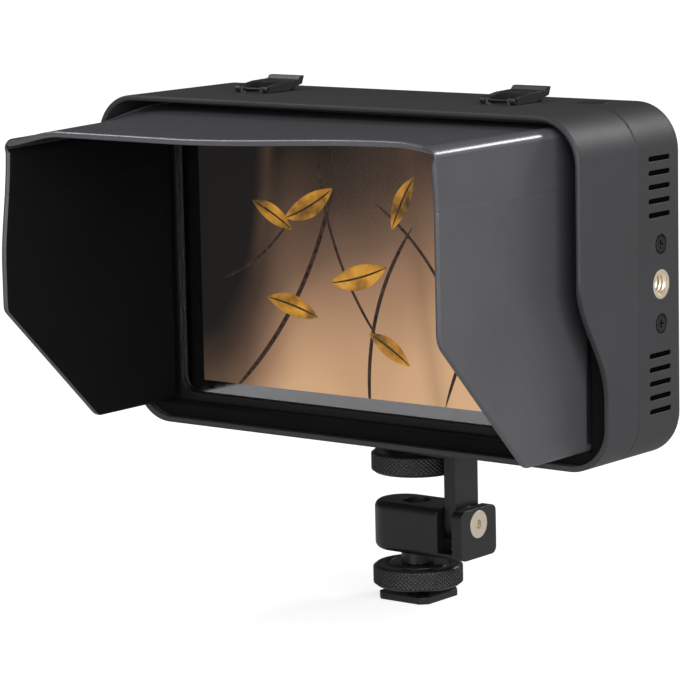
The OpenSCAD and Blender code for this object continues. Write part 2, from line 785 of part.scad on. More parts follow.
// Sprung button that holds the battery on its plate, with a collar under the plate
module battery_latch() {
    base = latch_travel + 0.1;
    top = battery_plate_t + 2.2;
    color(moulded) in_case() translate([latch_x, back_depth, case_mid]) rotate([-90, 0, 0]) difference() {
        union() {
            translate([0, 0, base]) cylinder(r = latch_r, h = top - base);
            translate([0, 0, base]) cylinder(r = latch_r + 0.9, h = latch_lip_z - latch_gap - base);
        }
        for (i = [-1:1]) translate([i * 1.6 - 0.3, -latch_r, top - 0.4]) cube([0.6, 2 * latch_r, 1]);
    }
}

// Section of the hood frame's wall, its front edge rounded
module frame_section() {
    edge_r = frame_wall / 2 - 0.1;
    translate([-frame_wall, edge_r]) square([frame_wall, hood_frame_d - edge_r]);
    translate([edge_r - frame_wall, 0]) square([frame_wall - 2 * edge_r, edge_r + 0.1]);
    for (x = [edge_r - frame_wall, -edge_r]) translate([x, edge_r]) circle(edge_r);
}

// Everything in front of the lip's side profile
module lip_cut() {
    across(-case_w, case_w) polygon(concat(
        [[-20, -5], [-20, lip_curve_top + 1]],
        [for (i = [0:20]) let (z = lip_curve_top - i * (lip_curve_top - lip_curve_bottom) / 20) [lip_at(z), z]],
        [[lip_step, -5]]
    ));
}

module hood_frame() {
    color(moulded) in_case() difference() {
        union() {
            difference() {
                rim(case_w, case_h, corner_r) frame_section();
                lip_cut();
            }
            for (s = [-1, 1], k = [-1, 1]) translate([s * clip_offset + k * (clip_w / 2 - clip_rail - slide_gap - clip_ear_t / 2), 0, 0])
                clip_ear();
        }
        for (s = [-1, 1]) translate([s * clip_offset, clip_axis_depth, clip_axis_height]) rotate([0, 90, 0])
            cylinder(r = clip_pin_r, h = clip_w, center = true);
    }
}

module clip_ear() {
    across(-clip_ear_t / 2, clip_ear_t / 2) {
        translate([clip_axis_depth, clip_axis_height]) circle(clip_lever_r);
        translate([clip_axis_depth - clip_lever_r, case_h - 0.2]) square([2 * clip_lever_r, clip_axis_height - case_h + 0.2]);
    }
}

// Ring inside the hood frame that the boards' hinges are fixed to
module hood_liner() {
    inset = frame_wall + seat_gap;
    color([0.05, 0.05, 0.05]) in_case() difference() {
        translate([0, 0, inset]) deep(bezel_depth - liner_gap - liner_depth, bezel_depth - liner_gap)
            rounded(case_w - 2 * inset, case_h - 2 * inset, corner_r - inset);
        translate([0, 0, liner_bottom]) deep(0, bezel_depth + 1)
            rounded(liner_inner_w, liner_top - liner_bottom, 1.5);
    }
}

module clip_pins() {
    color(steel) in_case() for (s = [-1, 1])
        translate([s * clip_offset, clip_axis_depth, clip_axis_height]) rotate([0, 90, 0])
            cylinder(r = clip_pin_r, h = clip_w - 0.4, center = true);
}

// Snap lever: two rails on the pin, a web with a tongue, and a raised tab
module clip_lever() {
    web_y = clip_axis_depth + 7.4;
    back_y = clip_axis_depth + 16.8;
    top_z = case_h + 4.1;
    low_z = case_h + clip_clear;
    module side_view() {
        translate([clip_axis_depth, clip_axis_height]) circle(clip_lever_r);
        polygon([
            [clip_axis_depth - 0.3, clip_axis_height + clip_lever_r - 0.05],
            [web_y - 0.4, case_h + 2.9], [back_y - 2.6, case_h + 3.1], [back_y - 1.6, top_z],
            [back_y, top_z], [back_y - 1, case_h + 1.7], [back_y - 3, case_h + 1.3],
            [web_y + 2, low_z], [clip_axis_depth, low_z]
        ]);
    }
    module web_view() {
        difference() {
            side_view();
            polygon([[0, 0], [0, case_h + 9], [web_y - 1, case_h + 9], [web_y - 1, 0]]);
            polygon([
                [web_y + 0.4, case_h + 1.7], [back_y - 2.2, case_h + 1.9],
                [back_y - 2, 0], [web_y + 0.4, 0]
            ]);
        }
        polygon([
            [tongue_depth, case_h + 2], [tongue_depth, case_h - 1.3],
            [tongue_depth + tongue_t * 0.6, case_h - 1.3],
            [tongue_depth + tongue_t, case_h - 0.9], [tongue_depth + tongue_t, case_h + 2]
        ]);
    }
    difference() {
        union() {
            for (s = [0, 1]) mirror([s, 0, 0]) across(clip_w / 2 - clip_rail, clip_w / 2) side_view();
            across(-clip_w / 2 + 0.2, clip_w / 2 - 0.2) difference() {
                web_view();
                translate([tongue_depth - 1, 0]) square([tongue_t + 2, case_h + 0.1]);
            }
            across(-tongue_w / 2, tongue_w / 2) web_view();
        }
        translate([0, clip_axis_depth, clip_axis_height]) rotate([0, 90, 0])
            cylinder(r = clip_pin_r + running_fit, h = 2 * clip_w, center = true);
    }
}

module left_clip() {
    color(moulded) in_case() translate([-clip_offset, 0, 0]) clip_lever();
}

module right_clip() {
    color(moulded) in_case() translate([clip_offset, 0, 0]) clip_lever();
}

// Outline of a side board in depth and height, from its hinge to its front edge
module side_board_outline() {
    front = side_axis_depth - side_board_reach;
    foot = side_axis_depth - side_board_foot;
    r = board_corner_r;
    slope = atan2(knee_height - hood_bottom, foot - front);
    ease = r * tan(slope / 2);
    knee_ease = r * tan((90 - slope) / 2);
    polygon([
        [side_axis_depth, hood_bottom], [foot + ease, hood_bottom],
        [foot - ease * cos(slope), hood_bottom + ease * sin(slope)],
        [front + knee_ease * cos(slope), knee_height - knee_ease * sin(slope)],
        [front, knee_height + knee_ease], [front, side_board_top], [side_axis_depth, side_board_top]
    ]);
    intersection() {
        translate([foot + ease, hood_bottom + r]) circle(r);
        polygon([[foot + ease, hood_bottom + r], [foot + ease, 0], [foot - 3 * ease * cos(slope), hood_bottom + 3 * ease * sin(slope) - r * 0.4]]);
    }
    translate([front + r, knee_height + knee_ease]) intersection() {
        circle(r);
        translate([-2 * r, -2 * r]) square([2 * r, 2 * r]);
        rotate(slope - 90 + 0.01) translate([-2 * r, -2 * r]) square(4 * r);
    }
}

module side_board(low, high) {
    in_case() intersection() {
        union() {
            across(side_axis_x - board_t / 2, side_axis_x + board_t / 2) side_board_outline();
            translate([side_axis_x, side_axis_depth, hood_bottom])
                cylinder(r = board_t / 2, h = side_board_top - hood_bottom);
        }
        translate([0, -case_w, low]) cube([case_w, 2 * case_w, high - low]);
    }
}

module right_side_board() {
    color(leather) side_board(0, crease_height - crease_gap / 2);
}

module right_upper_strip() {
    color(leather) side_board(crease_height + crease_gap / 2, case_h);
}

module left_side_board() {
    color(leather) mirror([1, 0, 0]) side_board(0, crease_height - crease_gap / 2);
}

module left_upper_strip() {
    color(leather) mirror([1, 0, 0]) side_board(crease_height + crease_gap / 2, case_h);
}

module hood_top_board() {
    color(leather) in_case() {
        translate([-top_board_w / 2, top_axis_depth - top_board_reach, top_axis_height - board_t / 2])
            cube([top_board_w, top_board_reach, board_t]);
        translate([-top_board_w / 2, top_axis_depth, top_axis_height]) rotate([0, 90, 0])
            cylinder(r = board_t / 2, h = top_board_w);
    }
}

// Cloth strips behind the hinges, glued to the liner
module hinge_tapes() {
    tape_t = 0.4;
    tape_w = 7;
    side_x = liner_inner_w / 2 - tape_t;
    color([0.07, 0.07, 0.07]) in_case() {
        for (s = [0, 1]) mirror([s, 0, 0]) translate([side_x, side_axis_depth - tape_w + 1.5, liner_bottom + 3])
            cube([tape_t - 0.02, tape_w, side_board_top - liner_bottom - 6]);
    }
}

shoe_foot();
pan_screw();
foot_lock_wheel();
clevis_block();
pivot_screw();
pivot_washers();
tilt_arm();
arm_pad();
mount_thumb_wheel();
mount_stud();
rear_casing();
back_cover();
cover_screws();
front_bezel();
cover_glass();
display_panel();
backlight();
chassis_plate();
main_board();
board_screws();
heat_sink();
hdmi_socket();
usb_socket();
power_socket();
headphone_socket();
right_socket_bracket();
left_socket_bracket();
bottom_socket_bracket();
bracket_screws();
power_button();
power_switch();
switch_board();
battery_plate();
battery_contacts();
battery_latch();
hood_frame();
hood_liner();
clip_pins();
left_clip();
right_clip();
hinge_tapes();
hood_top_board();
left_side_board();
left_upper_strip();
right_side_board();
right_upper_strip();
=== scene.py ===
"""Looks of a camera field monitor with a folding sun hood and a tilting shoe mount.

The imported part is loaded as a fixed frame. New pieces are worked out with numpy in
case millimetres, (x, depth behind the lip, height above the case's underside), and
turned into frame metres at the end.
"""

from __future__ import annotations

import logging
import math
from collections.abc import Callable
from dataclasses import dataclass
from enum import Enum
from functools import cache, partial

import bpy
import numpy as np
from mathutils import Matrix


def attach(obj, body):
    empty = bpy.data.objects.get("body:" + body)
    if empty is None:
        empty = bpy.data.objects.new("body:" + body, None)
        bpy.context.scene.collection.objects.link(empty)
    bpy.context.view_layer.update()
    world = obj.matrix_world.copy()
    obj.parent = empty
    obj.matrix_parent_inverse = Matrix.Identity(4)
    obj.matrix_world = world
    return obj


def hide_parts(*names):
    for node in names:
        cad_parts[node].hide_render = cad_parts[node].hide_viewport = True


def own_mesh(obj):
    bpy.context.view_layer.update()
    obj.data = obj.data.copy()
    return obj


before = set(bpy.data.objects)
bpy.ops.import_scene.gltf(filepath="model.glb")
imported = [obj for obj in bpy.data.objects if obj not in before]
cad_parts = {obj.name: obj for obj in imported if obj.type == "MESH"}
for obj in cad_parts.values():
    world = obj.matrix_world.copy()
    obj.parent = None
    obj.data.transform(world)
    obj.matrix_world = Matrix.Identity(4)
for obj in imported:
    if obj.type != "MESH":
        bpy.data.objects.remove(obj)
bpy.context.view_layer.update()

LOG = logging.getLogger("field_monitor")
MM = 0.001
CASE_ORIGIN = np.array([0.0, -40.0, 49.8])

Object = bpy.types.Object
Material = bpy.types.Material
Node = bpy.types.Node
Socket = bpy.types.NodeSocket
AddNode = Callable[..., Node]
Pair = tuple[float, float]
Place = tuple[float, float, float]
Rows = tuple[tuple[float, ...], ...]
Stops = tuple[tuple[float, str], ...]


class Side(Enum):
    """The side of the case that a piece belongs to."""

    LEFT = -1
    RIGHT = 1


# ---------------------------------------------------------------- meshes


def case_points(points: np.ndarray) -> np.ndarray:
    """Turns case millimetres into frame metres.

    Args:
        points: Array whose last axis is (x, depth, height) in millimetres.

    Returns:
        The same points in metres in the part's frame.
    """
    return (np.asarray(points, float) + CASE_ORIGIN) * MM


def grid_quads(rows: int, cols: int) -> np.ndarray:
    """Numbers the quads of a grid of points whose last column joins the first.

    Quad (i, j) joins the points (i, j), (i, j + 1), (i + 1, j + 1) and (i + 1, j).

    Args:
        rows: Number of rows of points.
        cols: Number of points in a row.

    Returns:
        One row of four point numbers for each quad.
    """
    i, j = np.meshgrid(np.arange(rows - 1) * cols, np.arange(cols), indexing="ij")
    k = (j + 1) % cols
    return np.stack([i + j, i + k, i + cols + k, i + cols + j], -1).reshape(-1, 4)


def mesh_object(name: str, points: np.ndarray, faces: list, smooth: bool = True) -> Object:
    """Makes a mesh object at the origin.

    Args:
        name: Name of the object.
        points: Points in frame metres.
        faces: Lists of point numbers.
        smooth: Whether the faces are shaded smooth.

    Returns:
        The new object, linked to the scene.
    """
    mesh = bpy.data.meshes.new(name)
    mesh.from_pydata(np.asarray(points).reshape(-1, 3).tolist(), [], faces)
    mesh.polygons.foreach_set("use_smooth", np.full(len(mesh.polygons), smooth))
    mesh.update()
    made = bpy.data.objects.new(name, mesh)
    bpy.context.scene.collection.objects.link(made)
    return made


def loft(name: str, *stacks: np.ndarray, closed: bool = False, smooth: bool = True) -> Object:
    """Joins stacks of closed loops of points into skins, all in one mesh.

    Args:
        name: Name of the object.
        stacks: Arrays (rows, points, 3) in case millimetres.
        closed: Whether a stack's last loop joins its first, as in a ring. Otherwise
            one face closes each end.
        smooth: Whether the faces are shaded smooth.

    Returns:
        The closed mesh object.
    """
    faces, first = [], 0
    for loops in stacks:
        rows, cols = loops.shape[:2]
        end = first + rows * cols
        if closed:
            faces += (grid_quads(rows + 1, cols) % (rows * cols) + first).tolist()
        else:
            faces += (grid_quads(rows, cols) + first).tolist()
            faces += [list(range(first, first + cols))[::-1], list(range(end - cols, end))]
        first = end
    points = np.concatenate([loops.reshape(-1, 3) for loops in stacks])
    return mesh_object(name, case_points(points), faces, smooth)


def face_outwards(piece: Object) -> None:
    """Turns a closed mesh's faces outwards where its signed volume is negative.

    Args:
        piece: The closed mesh.
    """
    mesh = piece.data
    points = np.empty(len(mesh.vertices) * 3)
    mesh.vertices.foreach_get("co", points)
    mesh.calc_loop_triangles()
    corners = np.empty(len(mesh.loop_triangles) * 3, int)
    mesh.loop_triangles.foreach_get("vertices", corners)
    a, b, c = np.moveaxis(points.reshape(-1, 3)[corners.reshape(-1, 3)], 1, 0)
    if np.einsum("ij,ij->i", a, np.cross(b, c)).sum() < 0:
        mesh.flip_normals()


def round_angles(count: int, start: float = 0.0) -> np.ndarray:
    """Gives evenly spaced angles round a full circle."""
    return np.linspace(0, 2 * np.pi, count, endpoint=False) + start


def smooth_step(value: np.ndarray, low: float, high: float) -> np.ndarray:
    """Rises from 0 at low to 1 at high, as 3 t squared minus 2 t cubed."""
    t = np.clip((np.asarray(value, float) - low) / (high - low), 0, 1)
    return t * t * (3 - 2 * t)


def filleted(points: list[Pair], radii: list[float], steps: int) -> np.ndarray:
    """Rounds the corners of an open line.

    At each corner an arc of the given radius touches both legs, at a distance of
    the radius times the tangent of half the turn from the corner.

    Args:
        points: Corners of the line, its ends included.
        radii: One radius for each corner between the ends.
        steps: Number of points on an arc.

    Returns:
        The points of the rounded line.
    """
    line = [np.array(points[0], float)]
    for before, corner, after, radius in zip(points, points[1:], points[2:], radii):
        corner = np.array(corner, float)
        one = np.array(before, float) - corner
        two = np.array(after, float) - corner
        one /= np.linalg.norm(one)
        two /= np.linalg.norm(two)
        half = math.acos(np.clip(one @ two, -1, 1)) / 2
        middle = corner + (one + two) / np.linalg.norm(one + two) * radius / math.sin(half)
        start = corner + one * radius / math.tan(half) - middle
        end = corner + two * radius / math.tan(half) - middle
        t = np.linspace(0, 1, steps)[:, None]
        sweep = math.pi - 2 * half
        arc = np.sin((1 - t) * sweep) * start + np.sin(t * sweep) * end
        line.extend(middle + arc / math.sin(sweep))
    line.append(np.array(points[-1], float))
    return np.array(line)


# ---------------------------------------------------------------- finishes


def linear(colour: str) -> tuple[float, float, float, float]:
    """Turns an sRGB colour into linear light.

    Args:
        colour: The colour as six hex digits after a number sign.

    Returns:
        Red, green, blue and alpha.
    """
    parts = np.array([int(colour[k : k + 2], 16) for k in (1, 3, 5)]) / 255
    low = parts / 12.92
    high = ((parts + 0.055) / 1.055) ** 2.4
    return (*np.where(parts <= 0.04045, low, high).tolist(), 1.0)


def add_node(
    tree: bpy.types.NodeTree,
    kind: str,
    inputs: dict | tuple = (),
    stops: Stops = (),
    **settings: object,
) -> Node:
    """Adds a node, sets its options and sets or links its inputs.

    Args:
        tree: The node tree.
        kind: The node's type name without ShaderNode, and its operation after a dot.
        inputs: Input name or number to a value, a socket, or a node whose first
            output is meant. A tuple fills the inputs in order.
        stops: Places and hex colours, for a node with a colour ramp.
        settings: Options of the node.

    Returns:
        The new node.
    """
    kind, _, operation = kind.partition(".")
    node = tree.nodes.new("ShaderNode" + kind)
    if operation:
        node.operation = operation
    for key, value in settings.items():
        setattr(node, key, value)
    for key, value in inputs.items() if isinstance(inputs, dict) else enumerate(inputs):
        if isinstance(value, Node):
            value = value.outputs[0]
        if isinstance(value, Socket):
            tree.links.new(value, node.inputs[key])
        else:
            node.inputs[key].default_value = value
    if stops:
        elements = node.color_ramp.elements
        while len(elements) < len(stops):
            elements.new(0.5)
        for element, (place, colour) in zip(elements, stops):
            element.position = place
            element.color = linear(colour)
    return node


def new_material(name: str) -> tuple[Material, AddNode]:
    """Makes an empty material.

    Args:
        name: Name of the material.

    Returns:
        The material and the function that adds its nodes.
    """
    made = bpy.data.materials.new(name)
    made.use_nodes = True
    made.node_tree.nodes.clear()
    return made, partial(add_node, made.node_tree)


@dataclass(frozen=True)
class Finish:
    """A surface with a fine grain in its height, colour and roughness.

    Attributes:
        name: Name of the material.
        dark: Colour in the grain's hollows.
        light: Colour on the grain's tops.
        roughness: Middle roughness; the grain moves it a little both ways.
        metallic: 1 for bare metal.
        grain: Size of one grain in millimetres.
        height: Height of the grain in millimetres.
        edge: Radius in millimetres to which sharp edges look rounded.
        stretch: How much longer the grain is along each axis.
        ior: Index of refraction, unused on metal.
    """

    name: str
    dark: str
    light: str
    roughness: float
    metallic: float = 0.0
    grain: float = 0.4
    height: float = 0.01
    edge: float = 0.0
    stretch: tuple[float, ...] = (1.0, 1.0, 1.0)
    ior: float = 1.5

    def pattern(self, add: AddNode, place: Node) -> Node:
        """Gives the grain as noise.

        Args:
            add: The function that adds a node.
            place: The place on the surface.

        Returns:
            The grain, from 0 in its hollows to 1 on its tops.
        """
        size = {"Vector": place, "Scale": 1.0 / (self.grain * MM)}
        return add("TexNoise", {**size, "Detail": 3.0, "Roughness": 0.6})

    def material(self) -> Material:
        """Builds the material from the grain, in Object coordinates.

        Returns:
            The material.
        """
        made, add = new_material(self.name)
        where = add("TexCoord").outputs["Object"]
        stretch = tuple(1.0 / s for s in self.stretch)
        grain = self.pattern(add, add("Mapping", {"Vector": where, "Scale": stretch}))
        # Handling leaves broad soft patches, some 25 mm across, in any finish
        patch = add("TexNoise", {"Vector": where, "Scale": 40.0, "Detail": 2.0, "Roughness": 0.5})
        fine = add("Math.MULTIPLY", (grain, 0.6))
        mixed = add("Math.MULTIPLY_ADD", (patch, 0.4, fine))
        low, high, swing = 0.3, 0.7, 0.06
        levels = (mixed, low, high, self.roughness + swing, self.roughness - swing)
        bump = {"Height": grain, "Distance": self.height * MM, "Strength": 1.0}
        if self.edge:
            bump["Normal"] = add("Bevel", {"Radius": self.edge * MM}, samples=4)
        inputs = {
            "Metallic": self.metallic,
            "Base Color": add("ValToRGB", (mixed,), stops=((low, self.dark), (high, self.light))),
            "Roughness": add("MapRange", levels),
            "Normal": add("Bump", bump),
        }
        if not self.metallic:
            inputs["IOR"] = self.ior
        add("OutputMaterial", {"Surface": add("BsdfPrincipled", inputs)})
        return made


@dataclass(frozen=True)
class GrainedLeather(Finish):
    """Artificial leather: rounded cells with fine creases between them."""

    def pattern(self, add: AddNode, place: Node) -> Node:
        """Gives the distance from the creases between cells.

        Args:
            add: The function that adds a node.
            place: The place on the surface.

        Returns:
            The height of the leather, levelled off in the cells.
        """
        size = {"Vector": place, "Scale": 1.0 / (self.grain * MM)}
        cells = add("TexVoronoi", size, feature="DISTANCE_TO_EDGE")
        return add("MapRange", (cells, 0.0, 0.25, 0.2, 0.65))


@dataclass(frozen=True)
class WovenCloth(Finish):
    """Woven black cloth: threads that cross in two directions."""

    def pattern(self, add: AddNode, place: Node) -> Node:
        """Gives the product of two rows of rounded threads.

        Args:
            add: The function that adds a node.
            place: The place on the surface.

        Returns:
            The height of the weave, a sine across the threads of each row.
        """
        turn = 2 * math.pi / (self.grain * MM)
        axes = add("SeparateXYZ", (place,)).outputs
        along = add("Math.ADD", (axes["X"], axes["Y"]))
        waves = []
        for way in (along, axes["Z"]):
            angle = add("Math.MULTIPLY", (way, turn))
            waves.append(add("Math.SINE", (angle,)))
        weave = add("Math.MULTIPLY", tuple(waves))
        return add("Math.MULTIPLY_ADD", (weave, 0.2, 0.5))


@dataclass(frozen=True)
class Glass:
    """Coated cover glass: clear, with a faint mirror film by its angle.

    Attributes:
        name: Name of the material.
        ior: Index of refraction.
        film: Share of bare glass's reflection that the coating lets through.
        most: The strongest reflection, at a grazing angle.
    """

    name: str = "coated_float_glass"
    ior: float = 1.5
    film: float = 0.04
    most: float = 0.03

    def material(self) -> Material:
        """Builds the material: transparent, mixed with gloss by Fresnel's law.

        Returns:
            The material.
        """
        made, add = new_material(self.name)
        clear = add("BsdfTransparent", {"Color": (0.98, 0.98, 0.98, 1)})
        where = add("TexCoord").outputs["Object"]
        smear = add("TexNoise", {"Vector": where, "Scale": 60.0, "Detail": 3.0})
        rough = add("MapRange", (smear, 0.0, 1.0, 0.01, 0.03))
        gloss = add("BsdfAnisotropic", {"Color": (1, 1, 1, 1), "Roughness": rough})
        bare = add("Fresnel", {"IOR": self.ior})
        coated = add("Math.MULTIPLY", (bare, self.film))
        amount = add("Math.MINIMUM", (coated, self.most))
        add("OutputMaterial", {"Surface": add("MixShader", (amount, clear, gloss))})
        return made


@dataclass(frozen=True)
class LitPicture:
    """The panel's lit picture: leafy stems before a blurred brown bank.

    Stems and leaves are places in millimetres from the picture's middle, with
    the turn of their long axis in degrees, half their length and half their
    width, the bend of the middle line and the softness of the edge.

    Attributes:
        middle: Height of the picture's middle in frame millimetres.
        half_w: Half the picture's width in millimetres.
        half_h: Half the picture's height in millimetres.
        faint: Strength of the stems far behind.
        bank: Colours of the bank, from its dark side to its light side.
        leaf_colours: Colours of the leaves' blotches.
        blurred: Stems far behind, out of focus.
        stems: Stems in focus.
        leaves: Leaves in focus.
    """

    name: str = "lit_panel_picture"
    middle: float = 100.0
    half_w: float = 68.3
    half_h: float = 38.45
    faint: float = 0.35
    bank: Stops = (
        (0.0, "#1d1b19"),
        (0.15, "#43352c"),
        (0.35, "#735a48"),
        (0.55, "#a47f62"),
        (0.75, "#d0a67e"),
        (1.0, "#dcb48a"),
    )
    leaf_colours: Stops = (
        (0.3, "#4a3a24"),
        (0.5, "#a8762f"),
        (0.68, "#d69a3a"),
        (0.8, "#8d8a6a"),
    )
    blurred: Rows = (
        (-44, 10, 82, 60, 1.6, 5, 2.2),
        (14, 0, 97, 60, 1.9, -4, 2.6),
        (58, 4, 74, 60, 1.5, 6, 2.0),
    )
    stems: Rows = (
        (-30, -8, 60, 42, 0.75, 7, 0.12),
        (-16, 4, 112, 30, 0.5, -5, 0.12),
        (-44, 2, 38, 18, 0.4, 3, 0.12),
        (-2, -14, 74, 30, 0.65, -6, 0.12),
        (18, 2, 128, 26, 0.5, 5, 0.12),
        (36, -10, 58, 32, 0.6, -4, 0.12),
    )
    leaves: Rows = (
        (-26, 17, 28, 10.5, 3.4, 0.9, 0.05),
        (-40, 14, 152, 8.5, 2.7, 0.5, 0.05),
        (-33, -13, -14, 10, 3.2, -0.6, 0.05),
        (-8, -3, 16, 11, 3.6, 0.8, 0.05),
        (8, 20, 62, 9, 2.8, -0.6, 0.05),
        (3, -23, 150, 8.5, 2.8, 0.5, 0.05),
        (28, 6, 34, 10, 3.2, 0.6, 0.05),
    )

    def drawn(self, add: AddNode, where: Socket, shapes: Rows, power: float) -> Node:
        """Masks a group of shapes.

        With the places along and across a shape being 1 at its end and edge, a point
        is inside where across is below 1 minus the square of along to a power.

        Args:
            add: The function that adds a node.
            where: The place on the panel.
            shapes: Rows of blurred, stems or leaves.
            power: 1 for a pointed leaf, more for a stem of even width.

        Returns:
            A mask that is 1 inside the shapes.
        """
        whole = None
        for x, z, turn, length, half, bend, soft in shapes:
            turned = {
                "Vector": where,
                "Location": (x * MM, 0, (z + self.middle) * MM),
                "Rotation": (0, -math.radians(turn), 0),
                "Scale": (length * MM, 1, half * MM),
            }
            place = add("Mapping", turned, vector_type="TEXTURE")
            axes = add("SeparateXYZ", (place,)).outputs
            square = add("Math.MULTIPLY", (axes["X"], axes["X"]))
            across = add("Math.MULTIPLY_ADD", (square, -bend / half, axes["Z"]))
            across = add("Math.ABSOLUTE", (across,))
            raised = add("Math.POWER", (square, power))
            value = add("Math.ADD", (across, raised))
            levels = (value, 1.0 - soft, 1.0 + soft, 1.0, 0.0)
            one = add("MapRange", levels, interpolation_type="SMOOTHSTEP")
            whole = one if whole is None else add("Math.MAXIMUM", (whole, one))
        return whole

    def material(self) -> Material:
        """Builds the lit material: the bank with painted shade at its left edge, soft stems, stems
        and leaves.

        Returns:
            The material.
        """
        made, add = new_material(self.name)
        where = add("TexCoord").outputs["Object"]
        axes = add("SeparateXYZ", (where,)).outputs
        u = add("Math.DIVIDE", (axes["X"], self.half_w * MM))
        above = add("Math.SUBTRACT", (axes["Z"], self.middle * MM))
        v = add("Math.DIVIDE", (above, self.half_h * MM))
        haze = add("TexNoise", {"Vector": where, "Scale": 24.0, "Detail": 1.0, "Roughness": 0.4})
        fall = add("Math.MULTIPLY_ADD", (v, -0.4, 0.22))
        slope = add("Math.MULTIPLY_ADD", (u, 0.22, fall))
        bank = add("Math.MULTIPLY_ADD", (haze, 0.42, slope))
        # Painted shade: the picture darkens towards its left edge, beside the hood's dark left
        # board
        painted_shade_levels = (u, -1.0, -0.45, -0.45, 0.0)
        shade = add("MapRange", painted_shade_levels, interpolation_type="SMOOTHSTEP")
        level = add("Math.ADD", (bank, shade))
        shown = add("ValToRGB", (level,), stops=self.bank)
        fibre = add("TexNoise", {"Vector": where, "Scale": 700.0, "Detail": 3.0})
        blotch = add("TexNoise", {"Vector": where, "Scale": 160.0, "Detail": 4.0})
        far = add("ValToRGB", (haze,), stops=((0.3, "#3a2c25"), (0.7, "#6e5443")))
        bark = add("ValToRGB", (fibre,), stops=((0.3, "#1c1412"), (0.7, "#49372f")))
        leaf = add("ValToRGB", (blotch,), stops=self.leaf_colours)
        ribs = tuple((*shape[:4], 0.3, shape[5], 0.3) for shape in self.leaves)
        layers = (
            (self.blurred, 8.0, self.faint, far),
            (self.stems, 4.0, 1.0, bark),
            (self.leaves, 1.0, 1.0, leaf),
            (ribs, 2.0, 1.0, bark),
        )
        for shapes, power, strength, colour in layers:
            mask = (self.drawn(add, where, shapes, power), strength)
            mask = add("Math.MULTIPLY", mask)
            shown = add("Mix", {0: mask, 6: shown, 7: colour}, data_type="RGBA").outputs[2]
        inputs = {
            "Base Color": (0.004, 0.004, 0.004, 1),
            "Roughness": 0.6,
            "Specular IOR Level": 0.1,
            "Emission Color": shown,
            "Emission Strength": 1.0,
        }
        add("OutputMaterial", {"Surface": add("BsdfPrincipled", inputs)})
        return made


# Name, dark and light colour, roughness, metallic, then grain, its height and the
# edge's radius in millimetres
FINISHES = {
    # Spark-eroded ABS: an even matt skin; the 0.1 mm grain is drawn at 0.3 mm to show
    "case": Finish("moulded_abs_case", "#303032", "#39393c", 0.56, 0, 0.3, 0.006, 0.7),
    "case_rear": Finish("moulded_abs_casing", "#2c2c2e", "#353538", 0.56, 0, 0.3, 0.006, 0.5),
    # The same resin polished: clips, button ring and battery plate shine a little more
    "trim": Finish("moulded_abs_trim", "#1a1a1c", "#212124", 0.42, 0, 0.3, 0.004, 0.2),
    # Satin ABS in the dark of the hood
    "bezel": Finish("satin_abs_bezel", "#050506", "#08080a", 0.55, 0, 0.5, 0.003, 0.1),
    # Polyurethane leather over board: shallow cells of 0.5 mm and a soft sheen
    "leather": GrainedLeather("pu_leather", "#48484c", "#545458", 0.36, 0, 0.55, 0.012),
    # The same leather pressed round the boards' edges: smoother, and coloured lighter as a painted
    # highlight on the rolled edges
    "leather_edge_painted_highlight": GrainedLeather(
        "smooth_leather_roll_painted_highlight", "#55555a", "#66666a", 0.24, 0, 0.55, 0.004
    ),
    # Flocked black cloth that keeps light off the screen
    "cloth": WovenCloth("black_lining_cloth", "#050506", "#0b0b0c", 0.9, 0, 0.6, 0.02, ior=1.3),
    # Open weave, near black and hardly reflecting: painted shade for the dark insides of the vents
    "dust_mesh_and_painted_shade": WovenCloth("dust_mesh_and_painted_shade", "#010101", "#030303", 0.9, 0, 0.5, 0.05, ior=1.1),
    # Anodised aluminium: bead-blasted, then dyed black
    "anodised": Finish("black_anodised_aluminium", "#151517", "#1c1c1f", 0.36, 0, 0.2, 0.004, 0.5),
    "anodised_knurl": Finish("black_anodised_knurl", "#141416", "#242427", 0.34, 0, 0.3, 0.004),
    # Nickel plating: bright, with a fine grain
    "nickel": Finish("turned_nickel_plate", "#f0e2cc", "#fff4e2", 0.45, 1, 0.3, 0.003, 0.1),
    "screw": Finish("black_oxide_screw", "#1a1a1b", "#2a2a2b", 0.35, 0.6, 0.2, 0.004, 0.1),
    "rubber": Finish("nitrile_rubber_pad", "#0c0c0c", "#141414", 0.75, 0, 0.3, 0.02),
    # Enamel on the back of the glass mirrors like metal
    "black_print": Finish("mirror_enamel_print", "#a2a2a6", "#a8a8ac", 0.12, 1, 4.0, 0.0005),
    "sheet": Finish(
        "bare_aluminium_sheet", "#8d8f92", "#a5a7aa", 0.4, 1, 0.5, stretch=(12.0, 1.0, 1.0)
    ),
    "diffuser": Finish("white_diffuser_sheet", "#cfd0d2", "#dedfe0", 0.6),
    "circuit": Finish("green_solder_mask", "#0c3320", "#134a2f", 0.35, 0, 1.5),
    "brass": Finish("plated_brass", "#a8843f", "#cba75c", 0.28, 1, 0.4, 0.003),
    "glass": Glass(),
    "picture": LitPicture(),
}


@cache
def finish_material(name: str) -> Material:
    """Builds a finish's material once."""
    return FINISHES[name].material()


def dress(piece: Object, *names: str) -> None:
    """Gives an object one material slot for each finish named.

    Args:
        piece: The object.
        names: Names of finishes, as in FINISHES.
    """
    piece.data.materials.clear()
    for name in names:
        piece.data.materials.append(finish_material(name))


# ---------------------------------------------------------------- the sun hood


